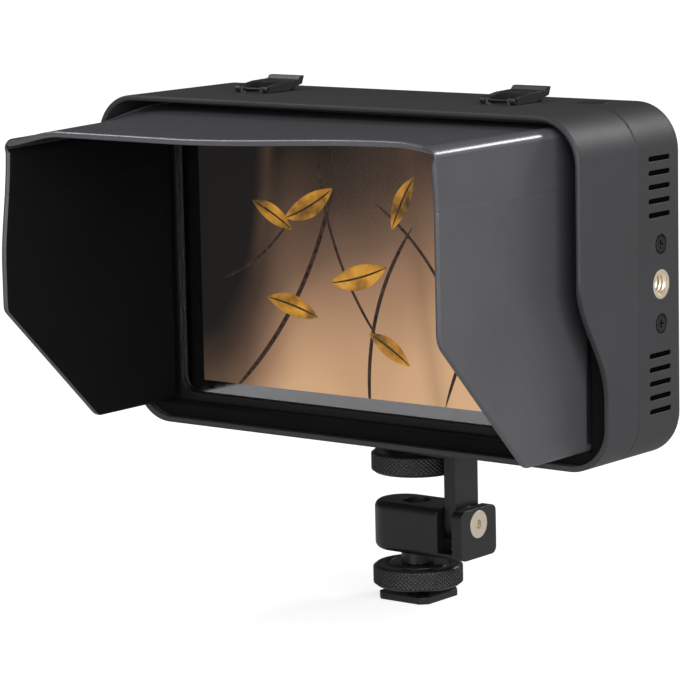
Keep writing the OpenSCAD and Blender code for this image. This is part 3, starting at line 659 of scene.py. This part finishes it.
def board_loops(
    front: np.ndarray | float, back: float, thick: np.ndarray, count: int, bend: int
) -> tuple[np.ndarray, np.ndarray]:
    """Lays a loop round a board's section at each row.

    A loop runs forward along the outer face, round the front edge on a half
    circle, back along the inner face and round the hinge end.

    Args:
        front: Depth of the front edge, one for all or as a column.
        back: Depth of the hinge end.
        thick: The thickness at each row, as a column.
        count: Number of points along a face.
        bend: Number of points on a round end.

    Returns:
        The points' depths and their distances from the outer face.
    """
    half = thick / 2
    run = np.linspace(0, 1, count)
    arc = np.linspace(0, np.pi, bend + 2)[1:-1]
    f, b = front + half, back - half
    ahead, behind = b + (f - b) * run, f + (b - f) * run
    depth = [ahead, f - half * np.sin(arc), behind, b + half * np.sin(arc)]
    offset = [0 * ahead, half * (1 - np.cos(arc)), thick + 0 * behind, half * (1 + np.cos(arc))]
    return np.concatenate(depth, axis=1), np.concatenate(offset, axis=1)


@dataclass
class SunHood:
    """The hood's boards: leather outside, black cloth inside.

    The leather is one sheet from each side board over the corner onto the top
    board. It parts from the top board's edge when the top folds down.

    Attributes:
        side_x: Distance of a side board's outer face from the middle.
        thick: Thickness of a board.
        root: Depth of the side boards' hinge end.
        front: Depth of the side boards' front edge.
        foot: Depth at which the lower edge turns into the slope.
        bottom: Height of the lower edge.
        knee: Height at which the slope meets the front edge.
        crease: Height of the crease.
        corner: Radius with which the leather turns over the top corner.
        top: Height of the top board's upper face.
        top_root: Depth of the top board's hinge end.
        top_front: Depth of the top board's front edge.
        top_half: Half the width of the top board.
        lap_rise: How far the leather that laps over the top stands above it.
        lap_thick: Thickness of that leather.
        lap_heights: Heights between which a side board thins to it.
        crease_deep: Depth of the crease.
        crease_w: Half its width.
        bow: How far a side board bows inwards.
        liner_outer: Half the liner's outer width and height.
        liner_outer_r: Radius of its outer corners.
        liner_inner_w: Half the width of its opening.
        liner_heights: The opening's lower and upper edge from the liner's middle.
        liner_middle: Height of the liner's middle.
        liner_depths: Depths of its front and back.
        tape_x: Distance of a hinge tape's middle from the case's middle.
        tape_depths: Depths of a tape's two edges.
        tape_heights: Heights of a tape's two ends.
    """

    side_x: float = 78.2
    thick: float = 1.8
    root: float = 20.8
    front: float = -52.2
    foot: float = -14.0
    bottom: float = 5.8
    knee: float = 44.9
    crease: float = 79.8
    corner: float = 3.0
    top: float = 96.1
    top_root: float = 16.8
    top_front: float = -50.3
    top_half: float = 76.0
    lap_rise: float = 0.44
    lap_thick: float = 0.38
    lap_heights: Pair = (92.6, 94.2)
    crease_deep: float = 0.15
    crease_w: float = 0.32
    bow: float = 0.25
    liner_outer: Pair = (84.85, 48.35)
    liner_outer_r: float = 11.55
    liner_inner_w: float = 79.0
    liner_heights: Pair = (-44.5, 46.95)
    liner_middle: float = 50.0
    liner_depths: Pair = (15.8, 22.8)
    tape_x: float = 78.79
    tape_depths: Pair = (14.5, 21.5)
    tape_heights: Pair = (8.5, 91.0)

    def sag(self, x: np.ndarray, depth: np.ndarray, height: np.ndarray) -> np.ndarray:
        """Says how far the soft hood's upper edge stands off its flat boards.

        The front edge droops at the left corner, lies low to the middle, rises
        towards the right end and droops a little again at that corner. The effect
        grows with the distance in front of the hinge, sooner at the left edge, and
        fades out half-way down the side boards.

        Args:
            x: Place across the case.
            depth: Depth behind the lip.
            height: Height above the case's underside.

        Returns:
            The rise in millimetres, negative for a droop.
        """
        across = (
            -5.3
            + 3.7 * smooth_step(x, -79, -56)
            + 2.8 * smooth_step(x, -15, 65)
            - 1.5 * smooth_step(x, 64, 79)
        )
        u = np.clip((self.top_root - depth) / (self.top_root - self.top_front), 0, 1.05)
        bent = 0.72 * smooth_step(u, 0.03, 0.5) + 0.28 * u
        inwards = smooth_step(x, -80, -50)
        ahead = bent * (1 - inwards) + u**1.5 * inwards
        return across * ahead * smooth_step(height, 45, 92)

    def edge_at(self, height: np.ndarray, side: Side) -> np.ndarray:
        """Says how deep a side board's front outline lies at each height.

        The outline is a line with rounded corners. On the left it leans back at the
        top, and its slope lies a little lower.

        Args:
            height: Heights above the case's underside.
            side: Which side board.

        Returns:
            The depth of the outline at each height.
        """
        left = side is Side.LEFT
        low, lean, knee_r = (1.0, 2.8, 3.0) if left else (0.0, 0.0, 7.0)
        corners = [
            (self.root, self.bottom),
            (self.foot - low, self.bottom),
            (self.front, self.knee - lean),
            (self.front, 110),
        ]
        line = filleted(corners, [5.0, knee_r], 14)
        depth = np.interp(height, line[1:, 1], line[1:, 0])
        if left:
            return depth + 3.2 * smooth_step(height, 55, 96)
        return depth - 0.8 * smooth_step(height, 80, 92)

    def board(self, name: str, points: np.ndarray, slots: np.ndarray) -> Object:
        """Makes a board from its loops and gives each face its finish.

        Args:
            name: Name of the piece.
            points: Array (loops, points, 3) in case millimetres.
            slots: For each quad, 0 for leather, 1 for cloth and 2 for pressed leather coloured
                lighter as a painted highlight.

        Returns:
            The dressed board.
        """
        piece = loft(name, points)
        face_outwards(piece)
        dress(piece, "leather", "cloth", "leather_edge_painted_highlight")
        # The faces that close the two ends come last
        piece.data.polygons.foreach_set("material_index", np.append(slots, [0, 0]))
        return piece

    def side_board(self, side: Side) -> Object:
        """Builds one side board as loops stacked up its height.

        The board's outer face climbs a line that runs straight up, turns inwards
        round a quarter circle and laps over the top board's edge.

        Args:
            side: Which side board.

        Returns:
            The dressed board.
        """
        x0, c, r = self.side_x, self.corner, self.thick / 2
        lap = self.top + self.lap_rise
        # The line climbs round the lower edge, up the face, round the corner and inwards
        low = self.bottom + r * (1 - np.cos(np.radians([14, 35, 60, 90])))
        face = np.linspace(self.bottom + r + 0.5, lap - c, 76)
        crease = self.crease + np.linspace(-1.2, 1.2, 17)
        face = np.unique(np.round(np.concatenate([face, crease]), 3))
        turn = np.radians(np.linspace(0, 90, 10)[1:])
        lapped = np.array([0.5, 0.9, 1.2])
        upright = len(low) + len(face)
        angle = np.concatenate([np.zeros(upright), turn, np.full(len(lapped), np.pi / 2)])
        ox = x0 - c + c * np.cos(angle)
        ox[-len(lapped) :] -= lapped
        oz = np.concatenate([low, face, lap - c + c * np.sin(angle[upright:])])
        # The lower edge is a half circle, and the leather at the top is thin
        chord = self.thick * np.sin(np.arccos(np.clip(1 - (oz - self.bottom) / r, -1, 1)))
        thick = np.where(oz < self.bottom + r + 1e-6, chord, self.thick)
        thinned = smooth_step(oz, *self.lap_heights)
        thick = thick * (1 - thinned) + self.lap_thick * thinned
        inset = np.where(oz < self.bottom + r, (self.thick - thick) / 2, 0)[:, None]
        pinch = self.crease_deep * np.exp(-(((oz - self.crease) / self.crease_w) ** 2))

        count, bend = 60, 7
        thick = thick[:, None]
        front = self.edge_at(oz, side)[:, None]
        depth, offset = board_loops(front, self.root, thick, count, bend)
        outer = np.abs(offset / np.maximum(thick, 1e-6) - 0.5) * 2
        inwards = np.where(offset > thick / 2, -1, 1)
        offset = offset + inset + pinch[:, None] * outer * inwards
        x = ox[:, None] - np.cos(angle)[:, None] * offset
        z = oz[:, None] - np.sin(angle)[:, None] * offset
        # A soft board bows inwards a little between its hinge and its front edge
        ahead = np.clip((self.root - depth) / (self.root - self.front), 0, 1)
        x = x - self.bow * np.sin(np.pi * ahead) * smooth_step(z, 92, 84)
        x = x * side.value
        z = z + self.sag(x, depth, z)
        column, level = np.arange(depth.shape[1]), oz[:-1, None]
        inner = (column >= count + bend - 1) & (level < lap - c)
        # The leather rolled over the top corner takes the lighter edge finish, a painted highlight
        roll = (column < count) & (level > lap - c + 0.1)
        name = side.name.lower()
        points = np.stack([x, depth, z], -1)
        piece = self.board(f"hood_{name}_leather_board", points, inner + 2 * roll)
        body = "hood_left" if side is Side.LEFT else "hood_right"
        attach(piece, body)
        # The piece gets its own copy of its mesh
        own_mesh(piece)
        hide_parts(f"{name}_side_board", f"{name}_upper_strip")
        return piece

    def top_board(self) -> Object:
        """Builds the top board as loops in depth and height, set out across it.

        The loops at both ends shrink on a half circle, so the side edges are round.

        Returns:
            The dressed board.
        """
        r = self.thick / 2
        ends = np.radians([12, 30, 55, 90])
        side = self.top_half - r
        inner = np.linspace(-side, side, 130)[1:-1]
        x = np.concatenate([-side - r * np.cos(ends), inner, side + r * np.cos(ends[::-1])])
        shrink = r * np.sin(ends)
        half = np.concatenate([shrink, np.full(len(inner), r), shrink[::-1]])[:, None]
        count, bend = 56, 9
        depth, offset = board_loops(self.top_front, self.top_root, 2 * half, count, bend)
        x = np.broadcast_to(x[:, None], depth.shape)
        z = self.top - r + half - offset
        z = z + self.sag(x, depth, z)
        column = np.arange(depth.shape[1])
        lower = (column >= count + bend - 1) & (column < 2 * count + bend)
        # The round front edge takes the lighter edge finish, a painted highlight
        roll = (column >= count - 1) & (column < count + bend - 1)
        slots = np.tile(lower + 2 * roll, len(x) - 1)
        piece = self.board("hood_top_leather_board", np.stack([x, depth, z], -1), slots)
        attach(piece, "hood_top")
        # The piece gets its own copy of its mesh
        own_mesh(piece)
        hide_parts("hood_top_board")
        return piece

    def liner(self) -> Object:
        """Builds the padded cloth ring that the boards' hinges are fixed to.

        The ring's section is a rounded rectangle swept round the case: its outer
        side follows the frame's rounded opening and its inner side the hood's. The
        padding swells and falls by a tenth of a millimetre along the ring.

        Returns:
            The dressed ring.
        """
        angle = round_angles(480, 0.001)
        turned = np.stack([np.cos(angle), np.sin(angle)], -1)
        reach = self.liner_outer_r * turned
        outer = np.sign(turned) * (np.array(self.liner_outer) - self.liner_outer_r) + reach
        low, high = self.liner_heights
        inner = np.clip(outer, (-self.liner_inner_w, low), (self.liner_inner_w, high))
        near, far = self.liner_depths
        round_r = 0.5
        arc = np.linspace(0, np.pi / 2, 5)
        corners = ((1, far, 1, 1), (0, far, -1, 1), (0, near, -1, -1), (1, near, 1, -1))
        share, depth = [], []
        for quarter, (along, deep, right, up) in enumerate(corners):
            bend = arc + quarter * np.pi / 2
            share.append(np.stack([np.full(5, along), np.cos(bend) - right], -1))
            depth.append(deep + round_r * (np.sin(bend) - up))
        along, across = np.concatenate(share).T
        depth = np.concatenate(depth)
        way = outer - inner
        span = np.linalg.norm(way, axis=1, keepdims=True)
        way = way / span
        swell = 1 - 0.2 * np.sin(np.arange(len(angle)) * 2 * np.pi / 24)[:, None] ** 2
        distance = along * span + across * np.minimum(round_r, 0.4 * span) * swell
        flat = inner[:, None] + way[:, None] * distance[..., None]
        x, z = flat[..., 0], flat[..., 1] + self.liner_middle
        loops = np.stack([x, np.broadcast_to(depth, x.shape), z], -1)
        piece = loft("hood_cloth_liner", loops, closed=True)
        face_outwards(piece)
        dress(piece, "cloth")
        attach(piece, "monitor")
        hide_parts("hood_liner")
        return piece

    def tapes(self) -> Object:
        """Builds the cloth tapes behind the side boards' hinges.

        Each tape is a thin strip with folded, rounded edges that waves a little.

        Returns:
            The two dressed tapes as one piece, like the part they stand for.
        """
        near, far = self.tape_depths
        rows = np.linspace(*self.tape_heights, 120)
        arc = round_angles(40)
        half_w, half_t = (far - near) / 2, 0.17
        depth = (near + far) / 2 + np.sign(np.cos(arc)) * (half_w - half_t) + half_t * np.cos(arc)
        wave = 0.02 * np.sin(rows * 0.9)
        stacks = []
        for side in Side:
            x = (self.tape_x + half_t * np.sin(arc)[None] + wave[:, None]) * side.value
            stacks.append(np.stack(np.broadcast_arrays(x, depth[None], rows[:, None]), -1))
        piece = loft("hood_cloth_tapes", *stacks)
        dress(piece, "cloth")
        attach(piece, "monitor")
        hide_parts("hinge_tapes")
        return piece

    def build(self) -> list[Object]:
        """Builds the boards, the liner and the tapes.

        Returns:
            The pieces.
        """
        top = self.top_board()
        sides = [self.side_board(side) for side in Side]
        return [top, *sides, self.liner(), self.tapes()]


# ---------------------------------------------------------------- the shoe mount


@dataclass
class KnurledWheel:
    """A turned wheel with a diamond knurl between two bevels.

    Attributes:
        name: Name of the piece.
        node: The CAD node that it stands for.
        body: The body that it rides on.
        bottom: Height of its underside in frame millimetres.
        bore: Radius of its bore.
        radius: Outer radius.
        height: Height of the wheel.
        bevel: Width of each bevel.
        diamonds: Number of diamonds round the wheel.
        depth: Depth of the knurl.
    """

    name: str
    node: str
    body: str
    bottom: float
    bore: float
    radius: float = 13.45
    height: float = 6.3
    bevel: float = 0.55
    diamonds: int = 60
    depth: float = 0.5

    def build(self) -> Object:
        """Builds the wheel by turning its profile and pressing in the knurl.

        The knurl is the smaller of two triangle waves that climb to the left and
        to the right, so it rises in four-sided points.

        Returns:
            The dressed wheel.
        """
        core = self.radius - self.depth
        rim = core - self.bevel
        top = self.height
        edge = [(rim - 0.1, 0.0), (rim, 0.02), (core - 0.03, self.bevel - 0.05)]
        band = [(core, z) for z in np.linspace(self.bevel, top - self.bevel, 29)]
        # A shallow groove in the upper face: half its width at each depth
        groove = [(0.62, 0.0), (0.58, 0.1), (0.5, 0.5)]
        groove_r = self.radius - 4.0
        profile = np.array(
            [(self.bore, 0.0), *edge, *band]
            + [(radius, top - z) for radius, z in edge[::-1]]
            + [(groove_r + half, top - deep) for half, deep in groove]
            + [(groove_r - half, top - deep) for half, deep in groove[::-1]]
            + [(self.bore + 0.2, top), (self.bore, top - 0.2)]
        )
        steps = self.diamonds * 8
        angle = round_angles(steps)[:, None]
        climb = (profile[:, 1] - top / 2)[None] / (self.radius / self.diamonds)
        slant = 1.15
        one, two = (
            np.abs((angle * self.diamonds + way * climb * slant) / (2 * np.pi) % 1 * 2 - 1)
            for way in (1, -1)
        )
        inside = (np.arange(len(profile)) >= 5) & (np.arange(len(profile)) < 3 + len(band))
        lift = self.depth * np.minimum(one, two) ** 0.8 * inside[None]
        radius = profile[None, :, 0] + lift
        height = np.repeat(profile[None, :, 1], steps, 0) + self.bottom
        loops = np.stack([radius * np.cos(angle), radius * np.sin(angle), height], -1) - CASE_ORIGIN
        piece = loft(self.name, loops, closed=True)
        face_outwards(piece)
        dress(piece, "anodised_knurl")
        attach(piece, self.body)
        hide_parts(self.node)
        return piece


# ---------------------------------------------------------------- the case


@dataclass
class MonitorCase:
    """Details of the case: the print round the picture, vents and threads.

    Attributes:
        picture_half_w: Half the picture's width.
        picture_heights: Heights of its lower and upper edge.
        print_depth: Depth of the print, between the glass and the panel.
        glass_half_w: Half the width of the cover glass.
        glass_heights: Heights of its lower and upper edge.
        glass_r: Radius of its corners.
        wall_x: Distance of the casing wall's inner face from the middle.
        socket_mouth: Distance of a socket's mouth from the middle.
        socket_depth: Depth of the sockets' axis.
        socket_height: Height of the sockets' axis.
        thread_r: Radius of the socket's thread.
        thread_pitch: Pitch of the socket's thread.
        vent_l: Length of a vent slot.
        vent_h: Height of a vent slot.
        vent_depth: Depth of the slots' middle.
        vent_pitch: Distance from one slot to the next.
        vent_count: Number of slots in a row.
    """

    picture_half_w: float = 68.3
    picture_heights: Pair = (11.75, 88.65)
    print_depth: float = 24.425
    glass_half_w: float = 76.0
    glass_heights: Pair = (7.8, 92.6)
    glass_r: float = 5.0
    wall_x: float = 84.5
    socket_mouth: float = 86.45
    socket_depth: float = 40.0
    socket_height: float = 50.2
    thread_r: float = 3.175
    thread_pitch: float = 1.27
    vent_l: float = 11.0
    vent_h: float = 1.5
    vent_depth: float = 39.3
    vent_pitch: float = 3.93
    vent_count: int = 5

    def black_print(self) -> Object:
        """Builds the flat black frame printed on the glass round the picture.

        Each point of the outer rounded rectangle joins the nearest point of the
        picture's own rectangle.

        Returns:
            The dressed ring.
        """
        angle = round_angles(160, 0.01)
        turned = np.stack([np.cos(angle), np.sin(angle)], -1)
        low, high = self.glass_heights
        middle = (low + high) / 2
        half = np.array([self.glass_half_w, (high - low) / 2]) - 0.05
        outer = np.sign(turned) * (half - self.glass_r) + self.glass_r * turned + (0, middle)
        low, high = self.picture_heights
        inner = np.clip(outer, (-self.picture_half_w, low), (self.picture_half_w, high))
        x, z = np.moveaxis(np.stack([outer, inner]), -1, 0)
        points = np.stack([x, np.full(x.shape, self.print_depth), z], -1)
        quads = grid_quads(*x.shape).tolist()
        piece = mesh_object("glass_black_print", case_points(points), quads, smooth=False)
        dress(piece, "black_print")
        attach(piece, "monitor")
        return piece

    def dust_mesh_and_painted_shade(self, side: Side, top: float, name: str) -> Object:
        """Builds the black mesh that fills a row of vents, a little sunk, as painted shade.

        Args:
            side: The side wall.
            top: Height of the uppermost slot's middle.
            name: Name of the piece.

        Returns:
            The dressed mesh: one flat plug with round ends for each slot.
        """
        angle = round_angles(24, 0.01)
        half_h = self.vent_h / 2 - 0.04
        reach = self.vent_l / 2 - self.vent_h / 2
        y = self.vent_depth + np.sign(np.cos(angle)) * reach + half_h * np.cos(angle)
        x = np.array([self.wall_x, self.wall_x + 1.65])[:, None] * side.value
        plugs = []
        for slot in range(self.vent_count):
            z = top - slot * self.vent_pitch + half_h * np.sin(angle)
            plugs.append(np.stack(np.broadcast_arrays(x, y[None], z[None]), -1))
        piece = loft(name, *plugs, smooth=False)
        face_outwards(piece)
        dress(piece, "dust_mesh_and_painted_shade")
        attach(piece, "monitor")
        return piece

    def socket_thread(self, side: Side) -> Object:
        """Builds the thread inside a quarter-inch socket.

        The thread is a tube round the socket's axis whose inner radius follows a
        triangle wave along a helix: it is a function of the angle and of the
        distance in from the mouth.

        Args:
            side: The side wall.

        Returns:
            The dressed thread.
        """
        steps = 64
        along = np.linspace(0.35, 7.8, 71)
        angle = round_angles(steps)[:, None]
        wave = np.abs(((along[None] / self.thread_pitch + angle / (2 * np.pi)) % 1) * 2 - 1)
        fade = smooth_step(along, 0.3, 1.0)[None] * smooth_step(along, 7.9, 7.2)[None]
        inner = self.thread_r - 0.06 - 0.5 * wave * fade
        outer = np.full((steps, 1), self.thread_r - 0.02)
        radius = np.concatenate([outer, inner, outer], axis=1)
        depth_in = np.concatenate([along[:1], along, along[-1:]])[None].repeat(steps, 0)
        x = (self.socket_mouth - depth_in) * side.value
        y = self.socket_depth + radius * np.cos(angle)
        z = self.socket_height + radius * np.sin(angle)
        name = f"{side.name.lower()}_socket_thread"
        piece = loft(name, np.stack([x, y, z], -1), closed=True)
        face_outwards(piece)
        dress(piece, "nickel")
        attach(piece, "monitor")
        return piece

    def build(self) -> list[Object]:
        """Builds every detail of the case."""
        return [
            self.black_print(),
            self.dust_mesh_and_painted_shade(Side.RIGHT, 85.5, "right_upper_dust_mesh"),
            self.dust_mesh_and_painted_shade(Side.RIGHT, 30.47, "right_lower_dust_mesh"),
            self.dust_mesh_and_painted_shade(Side.LEFT, 85.5, "left_upper_dust_mesh"),
            self.socket_thread(Side.RIGHT),
            self.socket_thread(Side.LEFT),
        ]


NODE_FINISHES = {
    "anodised": ("shoe_foot", "clevis_block", "tilt_arm", "pivot_washers", "power_button"),
    "anodised_knurl": ("foot_lock_wheel", "mount_thumb_wheel"),
    "screw": ("cover_screws", "bracket_screws", "clip_pins", "heat_sink"),
    "nickel": (
        "pan_screw", "pivot_screw", "mount_stud", "board_screws", "hdmi_socket", "usb_socket",
        "right_socket_bracket", "left_socket_bracket", "bottom_socket_bracket",
    ),
    "rubber": ("arm_pad",),
    "case": ("hood_frame",),
    "case_rear": ("rear_casing", "back_cover"),
    "trim": ("battery_plate", "battery_latch", "left_clip", "right_clip"),
    "bezel": ("front_bezel", "power_socket", "headphone_socket", "power_switch"),
    "glass": ("cover_glass",),
    "picture": ("display_panel",),
    "diffuser": ("backlight",),
    "sheet": ("chassis_plate",),
    "circuit": ("main_board", "switch_board"),
    "brass": ("battery_contacts",),
    "cloth": ("hood_liner", "hinge_tapes"),
    "leather": (
        "hood_top_board", "left_side_board", "left_upper_strip", "right_side_board",
        "right_upper_strip",
    ),
}


def dress_nodes() -> None:
    """Gives each CAD node its finish."""
    for finish, nodes in NODE_FINISHES.items():
        for node in nodes:
            dress(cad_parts[node], finish)
    LOG.info("dressed %d nodes", sum(len(nodes) for nodes in NODE_FINISHES.values()))


# ---------------------------------------------------------------- the studio


def seen_rays(add: AddNode, gloss: float) -> Node:
    """Gives 1 to rays from the camera, also through glass, and less to gloss.

    Args:
        add: The function that adds a node.
        gloss: What rays reflected by gloss get.

    Returns:
        The node with the value.
    """
    ray = add("LightPath").outputs
    direct = (ray["Is Camera Ray"], ray["Is Transmission Ray"])
    seen = add("Math.MAXIMUM", direct)
    glossy = add("Math.MULTIPLY", (ray["Is Glossy Ray"], gloss))
    return add("Math.MAXIMUM", (seen, glossy))


def put_in_scene(data: bpy.types.ID, axes: np.ndarray, place: Place) -> Object:
    """Puts a camera or lamp in the scene.

    Args:
        data: The camera or lamp.
        axes: Its right, up and back directions, one in each column.
        place: Its place in frame metres.

    Returns:
        The new object.
    """
    made = bpy.data.objects.new(data.name, data)
    turned = np.eye(4)
    turned[:3, :3] = axes
    turned[:3, 3] = place
    made.matrix_world = Matrix(turned.tolist())
    bpy.context.scene.collection.objects.link(made)
    return made


@dataclass(frozen=True)
class Lamp:
    """A soft rectangular lamp that faces a target.

    Attributes:
        name: Name of the lamp.
        place: Its place in frame metres.
        target: The point that it faces.
        size: Its width and height in metres.
        watts: Its power.
    """

    name: str
    place: Place
    target: Place
    size: Pair
    watts: float

    def build(self) -> None:
        """Adds the lamp, turned so that its width stays level."""
        data = bpy.data.lights.new(self.name, "AREA")
        data.shape, data.energy = "RECTANGLE", self.watts
        data.size, data.size_y = self.size
        back = np.array(self.place) - np.array(self.target)
        back /= np.linalg.norm(back)
        right = np.cross((0, 0, 1), back)
        right /= np.linalg.norm(right)
        put_in_scene(data, np.array([right, np.cross(back, right), back]).T, self.place)


LAMPS = (
    Lamp("key_lamp", (0.58, -0.3, 0.31), (0.05, 0.0, 0.1), (0.6, 0.3), 3.5),
    Lamp("corner_strip", (0.46, 1.0, 0.75), (0.0, 0.0, 0.1), (0.5, 0.14), 6),
    Lamp("left_strip", (-0.78, -0.25, 1.0), (0.0, 0.0, 0.1), (1.1, 0.14), 4.5),
    Lamp("front_lamp", (0.1, -1.75, 0.2), (0.0, 0.0, 0.08), (0.9, 0.9), 14),
)


@dataclass
class Studio:
    """Floor, lamps, world and camera.

    Attributes:
        eye: Place of the camera in frame metres.
        right: The picture's right direction.
        down: The picture's down direction.
        ahead: The viewing direction.
        focal: Focal length for a 36 mm wide sensor, in millimetres.
        floor_half: Half the floor's width in metres.
        floor_gap: How far the floor lies below the part, in metres.
    """

    eye: Place = (0.6075, -0.8028, 0.2373)
    right: Place = (0.7859, 0.6178, -0.0206)
    down: Place = (0.0808, -0.1358, -0.9873)
    ahead: Place = (-0.6129, 0.7745, -0.1566)
    focal: float = 183.3
    floor_half: float = 4.0
    floor_gap: float = 0.0002

    def camera(self) -> None:
        """Sets the camera where the photograph was taken from."""
        data = bpy.data.cameras.new("camera")
        data.lens, data.sensor_width, data.sensor_fit = self.focal, 36.0, "HORIZONTAL"
        data.clip_start, data.clip_end = 0.02, 50
        # The measured directions are rounded, so they are made square to each other
        axes = np.array([self.right, -np.array(self.down), -np.array(self.ahead)]).T
        square, signs = np.linalg.qr(axes)
        bpy.context.scene.camera = put_in_scene(data, square * np.sign(np.diag(signs)), self.eye)

    def floor(self) -> None:
        """Builds a plain floor that looks white and keeps soft shadows."""
        corners = np.array([(-1, -1, 0), (1, -1, 0), (1, 1, 0), (-1, 1, 0)]) * self.floor_half
        points = corners - (0, 0, self.floor_gap)
        made = mesh_object("floor", points, [[0, 1, 2, 3]], smooth=False)
        material, add = new_material("white_floor")
        matt = add("BsdfDiffuse", {"Color": (0.5, 0.5, 0.5, 1)})
        where = add("TexCoord").outputs["Object"]
        away = add("VectorMath.LENGTH", (where,)).outputs["Value"]
        # The glow grows to full white away from the object, past its shadow
        levels = (away, 0.1, 0.8, 0.78, 1.0)
        glow = add("MapRange", levels, interpolation_type="SMOOTHSTEP")
        strength = add("Math.MULTIPLY", (seen_rays(add, 0.25), glow))
        shine = add("Emission", {"Color": (1, 1, 1, 1), "Strength": strength})
        add("OutputMaterial", {"Surface": add("AddShader", (matt, shine))})
        made.data.materials.append(material)

    def world(self) -> None:
        """Makes the world white to the eye, and dim in gloss and as a lamp."""
        made = bpy.data.worlds.new("studio")
        bpy.context.scene.world = made
        made.use_nodes = True
        made.node_tree.nodes.clear()
        add = partial(add_node, made.node_tree)
        dim = 0.06
        strength = add("Math.MULTIPLY_ADD", (seen_rays(add, 0.02), 1 - dim, dim))
        lit = add("Background", {"Color": (1, 1, 1, 1), "Strength": strength})
        add("OutputWorld", {"Surface": lit})

    def build(self) -> None:
        """Sets up the whole studio."""
        self.camera()
        self.floor()
        self.world()
        for lamp in LAMPS:
            lamp.build()
        bpy.context.scene.view_settings.view_transform = "Standard"


WHEELS = (
    ("lock_wheel_knurled", "foot_lock_wheel", "lock_wheel", 4.0, 3.16),
    ("thumb_wheel_knurled", "mount_thumb_wheel", "mount_screw", 38.25, 3.175),
)


def main() -> None:
    """Builds the object and the studio, and reports each piece."""
    logging.basicConfig(level=logging.INFO, format="%(name)s: %(message)s")
    Studio().build()
    dress_nodes()
    made = SunHood().build()
    made += MonitorCase().build()
    made += [KnurledWheel(*wheel).build() for wheel in WHEELS]
    for piece in made:
        LOG.info("%s: %d faces", piece.name, len(piece.data.polygons))


if __name__ == "__main__":
    main()
